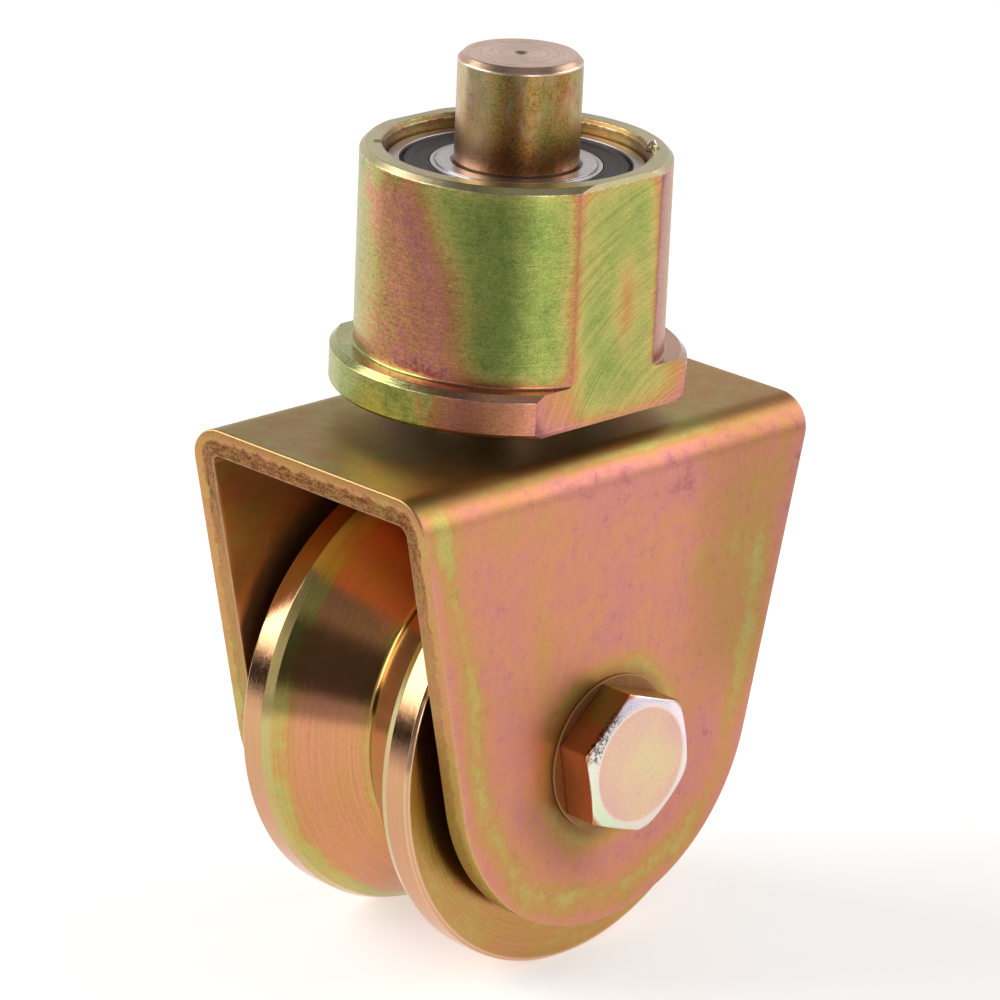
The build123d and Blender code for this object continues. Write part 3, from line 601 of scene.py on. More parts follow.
# --- ground bearing steel
m_ring, g = material("bearing_ring_ground")
x, y, z = g.coords()
fine = g.noise(g.p, 4.5, 3.0, 0.7)
lines = g.noise(g.vec((x * x + y * y).sqrt() * 5.0, z * 5.0, x * 0.06), 1.0, 4.0, 0.7)
col = g.ramp(fine, [(0.30, srgb(178, 172, 174)), (0.50, srgb(204, 198, 200)), (0.70, srgb(216, 212, 212))])
col = g.mix(g.step(lines, 0.56, 0.38) * 0.22, col, srgb(146, 138, 142))
g.put(g.i["Base Color"], col)
g.i["Metallic"].default_value = 1.0
g.put(g.i["Roughness"], (0.30 + (fine - 0.5) * 0.12).clamp())
g.i["Anisotropic"].default_value = 0.4
tangent(g, "Z")
g.l.new(g.bump(lines, 0.12, 0.02, g.bump(fine, 0.05, 0.02)), g.i["Normal"])

m_ball, g = material("bearing_ball_polished")
x, y, z = g.coords()
fine = g.noise(g.p, 2.0, 2.0, 0.5)
g.put(g.i["Base Color"], g.ramp(fine, [(0.3, srgb(196, 198, 202)), (0.7, srgb(222, 223, 226))]))
g.i["Metallic"].default_value = 1.0
g.put(g.i["Roughness"], (0.07 + (fine - 0.5) * 0.06).clamp())

m_cage, g = material("bearing_cage_pressed")
x, y, z = g.coords()
fine = g.noise(g.p, 1.8, 4.0, 0.6)
g.put(g.i["Base Color"], g.ramp(fine, [(0.3, srgb(142, 138, 132)), (0.7, srgb(186, 182, 174))]))
g.i["Metallic"].default_value = 1.0
g.put(g.i["Roughness"], (0.40 + (fine - 0.5) * 0.2).clamp())
g.l.new(g.bump(fine, 0.15, 0.03), g.i["Normal"])

# --- rubber seal
m_seal, g = material("seal_rubber_black")
x, y, z = g.coords()
fine = g.noise(g.p, 3.6, 3.0, 0.6)
blot = g.noise(g.p, 0.4, 3.0, 0.6)
col = g.ramp(blot, [(0.25, srgb(34, 33, 37)), (0.55, srgb(48, 46, 52)), (0.80, srgb(70, 67, 74))])
col = g.mix(g.step(g.noise(g.p, 1.3, 4.0, 0.8), 0.60, 0.72) * 0.35, col, srgb(104, 96, 92))
g.put(g.i["Base Color"], col)
g.put(g.i["Roughness"], (0.46 + (fine - 0.5) * 0.25).clamp())
g.i["Specular IOR Level"].default_value = 0.55
rings = g.noise(g.vec((x * x + y * y).sqrt() * 3.0, x * 0.05, y * 0.05), 1.0, 3.0, 0.6)
g.l.new(g.bump(rings, 0.18, 0.05, g.bump(fine, 0.20, 0.03)), g.i["Normal"])

# --- plain steel, spring steel and nylon
m_spacer, g = material("spacer_steel_turned")
x, y, z = g.coords()
fine = g.noise(g.p, 3.0, 3.0, 0.6)
lines = g.noise(g.vec(x * 0.1, y * 3.0 + z * 3.0, z * 0.1), 1.0, 4.0, 0.7)
col = g.ramp(fine, [(0.3, srgb(118, 110, 100)), (0.6, srgb(160, 152, 140)), (0.8, srgb(178, 172, 160))])
g.put(g.i["Base Color"], g.mix(g.step(g.noise(g.p, 0.5, 3.0, 0.6), 0.58, 0.70) * 0.4, col, srgb(120, 86, 60)))
g.i["Metallic"].default_value = 1.0
g.put(g.i["Roughness"], (0.38 + (fine - 0.5) * 0.2).clamp())
g.l.new(g.bump(lines, 0.25, 0.04), g.i["Normal"])

m_spring, g = material("spring_steel_oiled")
x, y, z = g.coords()
fine = g.noise(g.p, 2.6, 3.0, 0.6)
g.put(g.i["Base Color"], g.ramp(fine, [(0.3, srgb(54, 52, 54)), (0.6, srgb(86, 82, 80)), (0.8, srgb(112, 104, 96))]))
g.i["Metallic"].default_value = 1.0
g.put(g.i["Roughness"], (0.36 + (fine - 0.5) * 0.22).clamp())
g.l.new(g.bump(fine, 0.2, 0.03), g.i["Normal"])

m_nylon, g = material("nylon_insert")
x, y, z = g.coords()
fine = g.noise(g.p, 1.6, 3.0, 0.6)
g.put(g.i["Base Color"], g.ramp(fine, [(0.3, srgb(196, 204, 206)), (0.7, srgb(228, 232, 230))]))
g.put(g.i["Roughness"], (0.42 + (fine - 0.5) * 0.2).clamp())
g.i["Subsurface Weight"].default_value = 0.15
g.l.new(g.bump(fine, 0.12, 0.05), g.i["Normal"])


# ------------------------------------------------------------------ turned pieces
def tagged(points, seg=5):
    """Outline from (a, b, corner radius) rows. Small corner arcs are tagged as worn edges."""
    out, tags, n = [], [], len(points)
    plain = [(p[0], p[1]) for p in points]
    for i, p in enumerate(points):
        r = p[2] if len(p) > 2 else 0.0
        a = plain[i - 1]
        b = plain[(i + 1) % n]
        got = rounded([a, plain[i], b], [0, r, 0], seg, closed=False)[1:-1] if r > 0 else [plain[i]]
        for q in got:
            out.append(q)
            tags.append(1.0 if 0 < r <= 0.5 and len(p) < 4 else 0.0)
    return out, tags


def dense(pts, tags, step=1.6):
    """Splits long straight runs, so that wide faces are not single strips."""
    out, tg = [], []
    n = len(pts)
    for i in range(n):
        a, b = pts[i], pts[(i + 1) % n]
        out.append(a)
        tg.append(tags[i])
        d = math.hypot(b[0] - a[0], b[1] - a[1])
        k = int(d // step)
        fr = [j / (k + 1) for j in range(1, k + 1)]
        if d > 0.45:
            guard = 0.13 / d
            fr = [guard] + [f for f in fr if guard < f < 1 - guard] + [1 - guard]
        for f in fr:
            out.append((a[0] + (b[0] - a[0]) * f, a[1] + (b[1] - a[1]) * f))
            tg.append(0.0)
    return out, tg


def set_edge(ob, values, name="edge"):
    at = ob.data.attributes.new(name, "FLOAT", "POINT")
    at.data.foreach_set("value", np.asarray(values, np.float32))


def turned(name, points, mat, body, slot, replaces, axis="Z", centre=(0, 0, 0), n=192, seg=5, flip=False, step=3.0):
    pts = [((p[0], -p[1]) + tuple(p[2:])) if flip else tuple(p) for p in points]
    prof, tags = tagged(pts, seg)
    prof, tags = dense(prof, tags, step)
    verts, faces = lathe(prof, axis, centre, n)
    ob = make_object(name, verts, faces, mat, body, replaces)
    set_edge(ob, tags * n)
    clean(ob, 2e-7)
    ob.data.polygons.foreach_set("use_smooth", [True] * len(ob.data.polygons))
    weighted(ob)
    return ob


def arc_pts(c, r, a0, a1, k=10):
    return [(c[0] + r * math.cos(math.radians(a0 + (a1 - a0) * i / k)),
             c[1] + r * math.sin(math.radians(a0 + (a1 - a0) * i / k)), 0) for i in range(k + 1)]


def tracked(c_r, ball, at_r, inward):
    """The ball track's arc through a ring whose land is at radius at_r."""
    a = math.degrees(math.acos((at_r - c_r) / ball))
    if inward:       # track in an inner ring, bottom to top
        return arc_pts((c_r, 0), ball, -a, -(360 - a), 12)
    return arc_pts((c_r, 0), ball, a, -a, 12)


turned("stem", [(0.0, STEM_TOP - 0.35), (0.6, STEM_TOP - 0.22), (1.2, STEM_TOP, 0.2, 1), (9.05, STEM_TOP, 0.3),
                (10.0, STEM_TOP - 0.95, 0.35), (10.0, 30.3, 0.1), (9.6, 30.1, 0.08), (9.6, 29.2, 0.08), (10.0, 28.9, 0.1),
                (10.0, FORK_TOP, 0.1), (8.0, FORK_TOP, 0.05), (8.0, FORK_TOP - PLATE_T, 0.05),
                (11.0, FORK_TOP - PLATE_T, 0.15), (10.6, FORK_TOP - PLATE_T - 1.6, 0.9, 1), (7.0, FORK_TOP - PLATE_T - 2.6, 1.2, 1),
                (0.0, FORK_TOP - PLATE_T - 2.6)],
       m_stem, "fork", "zinc_stem", ["swivel_stem"], n=224, seg=6, step=2.5)

for which, centre_z, flip in (("upper", SB_TOP - 6.0, False), ("lower", 1.0, True)):
    body = "fork"
    turned(which + "_inner_ring",
           [(10.0, -5.4, 0.1), (10.6, -6.0, 0.1), (12.9, -6.0, 0.12), (12.9, -5.45), (13.15, -5.45), (13.15, -5.75, 0.08), (13.8, -5.75, 0.08)]
           + tracked(15.5, 3.18, 13.8, True)
           + [(13.8, 5.75, 0.08), (13.15, 5.75, 0.08), (13.15, 5.45), (12.9, 5.45), (12.9, 6.0, 0.12), (10.6, 6.0, 0.12), (10.0, 5.4, 0.12)],
           m_ring, "fork", "bearing_ring", [which + "_bearing_inner_ring"], centre=(0, 0, centre_z), n=192)
    turned(which + "_outer_ring",
           [(17.3, -4.25), (18.66, -4.25), (18.66, -6.0, 0.12), (20.5, -6.0, 0.15), (21.0, -5.5, 0.1), (21.0, 5.5, 0.1),
            (20.5, 6.0, 0.15), (18.66, 6.0, 0.12), (18.66, 4.25), (17.3, 4.25)] + tracked(15.5, 3.18, 17.3, False),
           m_ring, "housing", "bearing_ring", [which + "_bearing_outer_ring"], centre=(0, 0, centre_z), n=192)
    seal = [(13.95, 4.7), (18.66, 4.25), (18.66, 5.75, 0.06), (18.45, 5.75, 0.06), (18.3, 5.25, 0.05), (18.05, 5.25, 0.05), (17.9, 5.8, 0.12),
            (17.0, 5.8, 0.12), (16.8, 5.65, 0.1), (14.7, 5.65, 0.1), (14.45, 5.8, 0.12), (13.95, 5.7, 0.1)]
    for end, f in (("top", False), ("bottom", True)):
        turned(which + "_" + end + "_seal", seal, m_seal, "housing", "seal_rubber",
               [which + "_bearing_" + end + "_seal"], centre=(0, 0, centre_z), n=192, flip=f)

turned("collar", [(10.0, FORK_TOP), (13.1, FORK_TOP, 0.12), (13.5, FORK_TOP + 0.4, 0.12), (13.5, -5.6, 0.15), (12.9, -5.0, 0.15), (10.0, -5.0)],
       m_spacer, "fork", "spacer_steel", ["thrust_collar"])

for side, sg in (("nut_side", 1), ("head_side", -1)):
    at = (0, sg * 10.4, AXLE_Z)
    turned(side + "_inner_ring",
           [(8.5, -5.5, 0.1), (9.0, -6.0, 0.1), (11.5, -6.0, 0.1), (11.5, -5.6), (12.2, -5.6, 0.1)] + tracked(14.25, 3.35, 12.2, True)
           + [(12.2, 5.6, 0.1), (11.5, 5.6), (11.5, 6.0, 0.1), (9.0, 6.0, 0.1), (8.5, 5.5, 0.1)],
           m_ring, "fork", "bearing_ring", [side + "_bearing_inner_ring"], axis="Y", centre=at, n=160)
    turned(side + "_outer_ring",
           [(16.3, -4.3), (17.5, -4.3), (17.5, -6.0, 0.12), (19.5, -6.0, 0.15), (20.0, -5.5, 0.1), (20.0, 5.5, 0.1), (19.5, 6.0, 0.15),
            (17.5, 6.0, 0.12), (17.5, 4.3), (16.3, 4.3)] + tracked(14.25, 3.35, 16.3, False),
           m_ring, "wheel", "bearing_ring", [side + "_bearing_outer_ring"], axis="Y", centre=at, n=160)
    turned(side + "_washer",
           [(7.2, FORK_Y, 0.1), (WASHER_R, FORK_Y, 0.12), (WASHER_R, FORK_Y + WASHER_T, 0.15), (7.2, FORK_Y + WASHER_T, 0.1)],
           m_washer, "fork", "zinc_washer", ["nut_washer" if sg > 0 else "head_washer"], axis="Y", centre=(0, 0, AXLE_Z),
           n=160, flip=sg < 0)

# wheel: rim lands, narrow facets and the V groove
half = [(20.0, 18.2, 0.1), (20.0, 18.8, 0.1), (20.6, WHEEL_Y, 0.15), (WHEEL_R - 0.55, WHEEL_Y, 0.35), (WHEEL_R, WHEEL_Y - 0.55, 0.35),
        (WHEEL_R, 14.7, 0.2), (WHEEL_R - 0.65, 13.1, 0.3)]
bore = [(17.5, 4.4, 0.1), (20.0, 4.4), (20.0, 16.4, 0.08), (21.1, 16.4), (21.1, 18.2)]
loop = bore + half + [(27.7, 0.0, 1.0, 1)] + [((p[0], -p[1]) + tuple(p[2:])) for p in (bore + half)[::-1]]
turned("wheel", loop, m_wheel, "wheel", "zinc_wheel", ["v_groove_wheel"], axis="Y", centre=(0, 0, AXLE_Z), n=320, seg=6, step=1.5)


# ------------------------------------------------------------------ bearing housing
def housing():
    pts = [(18.0, 7.0, 0.3), (21.0, 7.0), (21.0, -6.5, 0.1), (21.5, -7.0, 0.15), (FLANGE_R - 0.7, -FLANGE_T, 0.25), (FLANGE_R, -FLANGE_T + 0.7, 0.25),
           (FLANGE_R, -1.0, 0.12), (FLANGE_R - 1.0, 0.0, 0.12), (HOUSING_R, 0.0, 0.4, 1), (HOUSING_R, HOUSING_H - 0.9, 0.3), (HOUSING_R - 0.9, HOUSING_H, 0.3),
           (23.25, HOUSING_H), (22.75, HOUSING_H), (22.55, HOUSING_H), (22.2, HOUSING_H), (21.9, HOUSING_H), (21.65, HOUSING_H),
           (21.45, HOUSING_H, 0.12), (21.0, HOUSING_H - 0.72, 0.12), (21.0, 31.4), (21.0, 31.0), (21.0, 30.6), (21.0, 18.1), (18.0, 18.1, 0.3)]
    prof, tags = tagged(pts, 7)
    prof, tags = dense(prof, tags, 1.2)
    k1 = list(np.linspace(0, 1, 61))
    for c in (40 / 87.5, 44 / 87.5):
        k1 += [c + d for d in (-0.020, -0.014, -0.0102, -0.006, -0.002, 0.002, 0.006, 0.0102, 0.014, 0.020)]
    k1 = sorted(k1)
    k2 = list(np.linspace(0, 1, 25))[1:]
    stakes = [(math.radians(136), 0.0), (math.radians(-40), 1.0)]

    def columns(r):
        a0 = math.asin(FLAT_Y / r) if r > FLAT_Y + 0.02 else math.radians(87.5)
        first = [u * a0 for u in k1] + [a0 + u * (math.pi / 2 - a0) for u in k2]
        quad = first + [math.pi - a for a in first[::-1][1:]]
        return quad + [math.pi + a for a in quad[1:-1]] + []

    cols = [columns(r) for r, _ in prof]
    n, m = len(cols[0]), len(prof)
    verts = []
    for i in range(n):
        for j, (r, h) in enumerate(prof):
            a = cols[j][i]
            s = abs(math.sin(a))
            rr = min(r, FLAT_Y / s) if s > 1e-6 else r
            hh = h
            for sa, nib in stakes:
                d = (a - sa + math.pi) % (2 * math.pi) - math.pi
                tau = abs(d) * 22.4
                if r < 22.7 and h > 30.5 and tau < 2.0:
                    k = max(0.0, 1 - max(0.0, tau - 0.22) / 0.22)
                    k = k * k * (3 - 2 * k)
                    if h > HOUSING_H - 0.3:
                        hh -= 0.68 * k
                        hh += 0.0 if k > 0 else 0.10 * math.exp(-((tau - 0.62) / 0.22) ** 2)
                    if nib and r < 21.7:
                        b = math.exp(-((tau - 0.1) / 0.75) ** 2) * max(0.0, (h - 30.6) / 1.9)
                        rr -= 0.60 * b
            verts.append((rr * math.cos(a), rr * math.sin(a), hh))
    faces = []
    for i in range(n):
        i2 = (i + 1) % n
        for j in range(m):
            j2 = (j + 1) % m
            faces.append([i * m + j, i2 * m + j, i2 * m + j2, i * m + j2])
    # the curl of metal pushed up by the right-hand stake
    wear, bead = tags * n, [0.0] * len(verts)
    sa = stakes[1][0]
    out_, along = Vector((math.cos(sa), math.sin(sa), 0)), Vector((-math.sin(sa), math.cos(sa), 0))
    at = out_ * 21.45 + Vector((0, 0, HOUSING_H + 0.05))
    nu, nv, first = 28, 14, len(verts)
    for a in range(nv + 1):
        for b in range(nu):
            th, ph = math.pi * a / nv, 2 * math.pi * b / nu
            d = Vector((math.sin(th) * math.cos(ph), math.sin(th) * math.sin(ph), math.cos(th)))
            k = 1.0 + 0.20 * noise.noise(d * 1.4 + Vector((3, 1, 8))) + 0.08 * noise.noise(d * 3.5)
            v = at + out_ * (d.x * 0.90 * k) + along * (d.y * 1.15 * k) + Vector((0, 0, d.z * 1.35 * k + 0.20 * d.x))
            verts.append(tuple(v))
            wear.append(0.0)
            bead.append(1.0)
    for a in range(nv):
        for b in range(nu):
            b2 = (b + 1) % nu
            faces.append([first + a * nu + b, first + (a + 1) * nu + b, first + (a + 1) * nu + b2, first + a * nu + b2])
    ob = make_object("housing", verts, faces, m_housing, "housing", ["bearing_housing"])
    set_edge(ob, wear)
    set_edge(ob, bead, "nib")
    clean(ob, 4e-6)
    bm = bmesh.new()
    bm.from_mesh(ob.data)
    bmesh.ops.holes_fill(bm, edges=[e for e in bm.edges if e.is_boundary], sides=0)
    bm.to_mesh(ob.data)
    bm.free()
    ob.data.polygons.foreach_set("use_smooth", [True] * len(ob.data.polygons))
    ob.data.set_sharp_from_angle(angle=math.radians(22))
    weighted(ob)
    return ob


housing()


# ------------------------------------------------------------------ fork, a blanked and bent plate
def fork():
    by, bz, ri = FORK_Y - BEND_R, FORK_TOP - BEND_R, BEND_R - PLATE_T
    tx = EAR_R * math.cos(TAPER)
    tz = EAR_Z - EAR_R * math.sin(TAPER)
    top_z = tz + (FORK_X - tx) / math.tan(TAPER)
    bottom = EAR_Z - EAR_R
    ear = bz - bottom
    bend = BEND_R * math.pi / 2
    total = 2 * ear + 2 * bend + 2 * by

    def place(u):
        """Outer surface point (y, z) and outward normal at developed length u."""
        side, v = (-1, u) if u <= total / 2 else (1, total - u)
        if v <= ear:
            return side * FORK_Y, bottom + v, side * 1.0, 0.0
        if v <= ear + bend:
            a = (v - ear) / BEND_R
            return side * (by + BEND_R * math.cos(a)), bz + BEND_R * math.sin(a), side * math.cos(a), math.sin(a)
        return side * (by - (v - ear - bend)), FORK_TOP, 0.0, 1.0

    def width(z):
        if z <= tz:
            return math.sqrt(max(0.0, EAR_R ** 2 - (z - EAR_Z) ** 2))
        line = FORK_X - (top_z - z) * math.tan(TAPER)
        k = 0.5
        d = (line - FORK_X) / k
        return FORK_X if d > 1 else line if d < -1 else line - k * (d + 1) ** 2 / 4

    def solid(u, x, t):
        y, z, ny, nz = place(u)
        zt = z - t * nz
        w0 = width(z)
        f = width(zt) / w0 if (z > bz and w0 > 1) else 1.0
        return (x * f, y - t * ny, zt)

    # outline, from the foot of one ear round to the other and back
    quarter = []
    bt = math.asin(tx / EAR_R)
    k = int(EAR_R * bt / 0.6)
    for i in range(k):
        b = bt * i / k
        quarter.append((EAR_R - EAR_R * math.cos(b), EAR_R * math.sin(b)))
    u = tz - bottom
    us = list(np.arange(u, ear, 0.6)) + list(np.linspace(ear, ear + bend, 22))[:-1] + list(np.linspace(ear + bend, total / 2, 36))
    for u in us:
        quarter.append((u, width(place(u)[1])))
    right = quarter + [(total - a, b) for a, b in quarter[::-1][1:]]
    ring = right + [(a, -b) for a, b in right[::-1][1:-1]]
    ring = np.array(ring)
    nb = len(ring)
    tang = np.roll(ring, -1, 0) - np.roll(ring, 1, 0)
    tang /= np.linalg.norm(tang, axis=1)[:, None]
    inward = np.stack([-tang[:, 1], tang[:, 0]], 1)
    mid = np.array([total / 2, 0.0])
    if ((mid - ring) * inward).sum() < 0:
        inward = -inward

    rho = 0.32
    rows = [(1.8, 0.0, 0, 0), (1.1, 0.0, 0, 0.2)]
    for d in range(0, 91, 15):
        f = math.radians(d)
        rows.append((rho * (1 - math.sin(f)), rho * (1 - math.cos(f)), d / 90.0, 1.0 - abs(d - 35) / 70.0))
    rows += [(0, t, 1, 0) for t in (0.8, 1.05, 1.3, 1.55, 1.8, 2.05, 2.3, 2.55, 2.8, 3.05, 3.3, 3.55, 3.8, 4.05)]
    rows += [(0, 4.28, 1, 0.5), (0.04, 4.40, 1, 1), (0.12, 4.47, 0.7, 1), (0.25, 4.5, 0.2, 0.5), (0.8, 4.5, 0, 0), (1.8, 4.5, 0, 0)]
    verts, cut, worn, deep = [], [], [], []
    for d, t, c, w in rows:
        for i in range(nb):
            x3 = solid(ring[i, 0], ring[i, 1], t)
            dd = d
            if 0.7 < t < 4.2 and d == 0:
                v = Vector(x3)
                rough = 1.0 if x3[2] > -30 else 0.45
                zone = max(0.0, min(1.0, (t - 1.2) / 0.6))
                dd += rough * zone * (0.10 * abs(noise.noise(v * 0.9)) + 0.08 * abs(noise.noise(v * 2.6 + Vector((7, 3, 1)))))
                dd += 0.03 * abs(noise.noise(v * 0.35))
            q = ring[i] + inward[i] * dd
            verts.append(solid(q[0], q[1], t))
            cut.append(c)
            worn.append(max(0.0, w))
            deep.append(t / PLATE_T)
    faces = []
    for rr in range(len(rows) - 1):
        for i in range(nb):
            i2 = (i + 1) % nb
            faces.append([rr * nb + i, rr * nb + i2, (rr + 1) * nb + i2, (rr + 1) * nb + i])
    # holes: (developed centre, radius), each a short wall between two small chamfers
    holes = [(AXLE_Z - bottom, 7.2), (total - (AXLE_Z - bottom), 7.2), (total / 2, 8.0)]
    hrows = [(0.9, 0.0), (0.15, 0.0), (0.0, 0.15), (0.0, 2.2), (0.0, 4.35), (0.15, 4.5), (0.9, 4.5)]
    hn = 72
    starts = []
    for uc, hr in holes:
        first = len(verts)
        starts.append(first)
        for dr, t in hrows:
            for i in range(hn):
                a = 2 * math.pi * i / hn
                verts.append(solid(uc + (hr + dr) * math.cos(a), (hr + dr) * math.sin(a), t))
                cut.append(1.0 if 0 < t < 4.4 else 0.0)
                worn.append(0.0)
                deep.append(t / PLATE_T)
        for rr in range(len(hrows) - 1):
            for i in range(hn):
                i2 = (i + 1) % hn
                faces.append([first + rr * hn + i, first + rr * hn + i2, first + (rr + 1) * hn + i2, first + (rr + 1) * hn + i])
    # the two wide faces
    from mathutils.geometry import delaunay_2d_cdt
    ug = list(np.linspace(1.0, ear, 42)) + list(np.linspace(ear, ear + bend, 26))[1:] + list(np.linspace(ear + bend, total / 2, 13))[1:]
    ug = ug + [total - a for a in ug[::-1][1:]]
    inner_pts = []
    for u in ug:
        w = width(place(u)[1])
        for x in np.arange(-42, 42.1, 2.0):
            if abs(x) > w - 2.6:
                continue
            v = min(u, total - u)
            if v < EAR_R and math.hypot(v - EAR_R, x) > EAR_R - 2.6:
                continue
            if any(math.hypot(u - uc, x) < hr + 1.6 for uc, hr in holes):
                continue
            inner_pts.append((u, x))
    for t, row in ((0.0, 0), (4.5, len(rows) - 1)):
        loop2 = ring + inward * 1.8
        ids = [row * nb + i for i in range(nb)]
        pts2 = [Vector((float(a), float(b))) for a, b in loop2]
        cons = [(i, (i + 1) % nb) for i in range(nb)]
        for (uc, hr), first in zip(holes, starts):
            base = len(pts2)
            hrow = 0 if t == 0 else len(hrows) - 1
            for i in range(hn):
                a = 2 * math.pi * i / hn
                pts2.append(Vector((uc + (hr + 0.9) * math.cos(a), (hr + 0.9) * math.sin(a))))
                ids.append(first + hrow * hn + i)
            cons += [(base + i, base + (i + 1) % hn) for i in range(hn)]
        for u, x in inner_pts:
            pts2.append(Vector((u, x)))
            ids.append(len(verts))
            verts.append(solid(u, x, t))
            cut.append(0.0)
            worn.append(0.0)
            deep.append(t / PLATE_T)
        res = delaunay_2d_cdt(pts2, cons, [], 1, 1e-6)
        ov, of = res[0], res[2]
        src = res[3]
        for f in of:
            c = sum((ov[i] for i in f), Vector((0, 0))) / len(f)
            if any((c - Vector((uc, 0))).length < hr + 0.88 for uc, hr in holes):
                continue
            faces.append([ids[src[i][0]] for i in f])
    ob = make_object("fork_plate", verts, faces, m_fork, "fork", ["fork"])
    set_edge(ob, cut, "cut")
    set_edge(ob, deep, "depth")
    set_edge(ob, worn, "edge")
    clean(ob, 2e-7)
    ob.data.polygons.foreach_set("use_smooth", [True] * len(ob.data.polygons))
    return ob


fork()


# ------------------------------------------------------------------ bolt and nut
def hexagon(af, turn, corner=0.55, step=0.55):
    rr = af / 2 / math.cos(math.pi / 6)
    pts = [(rr * math.cos(math.radians(turn + 60 * k)), rr * math.sin(math.radians(turn + 60 * k)), corner) for k in range(6)]
    prof, _ = tagged(pts, 6)
    prof, _ = dense(prof, [0] * len(prof), step)
    return prof


def polar_rows(outline, rows, y_of, closed_ends=(True, True)):
    """rows is a list of functions from the outline's radius to (radius, height)."""
    verts, faces = [], []
    n = len(outline)
    for fn in rows:
        for px, pz in outline:
            rho = math.hypot(px, pz)
            r, h = fn(rho)
            verts.append((px / rho * r, y_of(h), AXLE_Z + pz / rho * r))
    for j in range(len(rows) - 1):
        for i in range(n):
            i2 = (i + 1) % n
            faces.append([j * n + i, j * n + i2, (j + 1) * n + i2, (j + 1) * n + i])
    return verts, faces


def bolt():
    out = hexagon(HEAD_AF, HEAD_TURN)
    slope = math.tan(math.radians(20))
    face_r = 9.85

    def side_h(rho):
        return HEAD_H - max(0.0, rho - face_r) * slope

    def low_h(rho):
        return max(0.12, (rho - 12.29) * 0.553)

    rows = [lambda q: (0.001, 0.0), lambda q: (7.0, 0.0), lambda q: (10.0, 0.0), lambda q: (min(q - 0.14, 12.2), 0.0),
            lambda q: (q - 0.04, low_h(q) * 0.35), lambda q: (q, low_h(q))]
    for f in np.linspace(0.08, 0.92, 9):
        rows.append(lambda q, f=f: (q, low_h(q) + (side_h(q) - low_h(q)) * f))
    rows += [lambda q: (q, side_h(q) - 0.14), lambda q: (q - 0.015, side_h(q) - 0.05), lambda q: (q - 0.07, side_h(q - 0.07) - 0.005)]
    for f in (0.82, 0.6, 0.4, 0.22):
        rows.append(lambda q, f=f: (face_r + (q - face_r) * f, side_h(face_r + (q - face_r) * f)))
    rows += [lambda q: (9.96, side_h(9.96) - 0.004), lambda q: (9.85, HEAD_H - 0.018), lambda q: (9.72, HEAD_H - 0.004)]
    for r in (9.5, 8.8, 8.0, 7.0, 6.0, 5.0, 4.0, 3.0, 2.0, 1.0, 0.001):
        rows.append(lambda q, r=r: (r, HEAD_H - 0.05 * math.exp(-((r - 9.1) / 0.5) ** 2)))
    base = -(FORK_Y + WASHER_T)
    verts, faces = polar_rows(out, rows, lambda h: base - h)
    n = len(out)
    for i, (vx, vy, vz) in enumerate(verts):
        if vy < base - HEAD_H + 0.1 and math.hypot(vx, vz - AXLE_Z) < 9.4:
            v = Vector((vx, 0, vz))
            verts[i] = (vx, vy + 0.035 * (noise.noise(v * 0.35) - 0.3) * min(1.0, (9.4 - math.hypot(vx, vz - AXLE_Z)) / 1.2), vz)
    # shank and rolled thread
    end = FORK_Y + WASHER_T + NUT_H + 3.3
    start = FORK_Y + 0.4
    ys = [base - 0.5] + list(np.linspace(base - 0.5, start, 10)) + list(np.arange(start + 0.12, end - 0.001, 0.125)) + [end]
    na, pitch, depth = 144, 2.0, 0.95
    first = len(verts)
    for row, yv in enumerate(ys):
        for i in range(na):
            a = 2 * math.pi * i / na
            r = AXLE_R if row else 0.001
            if yv > start:
                f = (yv / pitch - a / (2 * math.pi)) % 1.0
                tri = abs(f - 0.5) * 2
                cutin = min(1.0, (yv - start) / 1.5)
                r = AXLE_R - depth * cutin * max(0.0, min(1.0, (1 - tri - 0.08) / 0.78))
            r = min(r, AXLE_R - max(0.0, 1.0 - (end - yv)) * 1.0)
            verts.append((r * math.cos(a), yv, AXLE_Z + r * math.sin(a)))
    for j in range(len(ys) - 1):
        for i in range(na):
            i2 = (i + 1) % na
            faces.append([first + j * na + i, first + (j + 1) * na + i, first + (j + 1) * na + i2, first + j * na + i2])
    for k, rr in enumerate((4.5, 3.0, 1.5, 0.001)):
        prev = len(verts) - na
        for i in range(na):
            a = 2 * math.pi * i / na
            verts.append((rr * math.cos(a), end + (0.0 if rr > 4 else -0.12 * (1 - rr / 4)), AXLE_Z + rr * math.sin(a)))
        cur = len(verts) - na
        for i in range(na):
            i2 = (i + 1) % na
            faces.append([prev + i, cur + i, cur + i2, prev + i2])
    ob = make_object("bolt", verts, faces, m_bolt, "fork", ["axle_bolt"])
    clean(ob, 4e-6)
    ob.data.polygons.foreach_set("use_smooth", [True] * len(ob.data.polygons))
    ob.data.set_sharp_from_angle(angle=math.radians(50))


bolt()


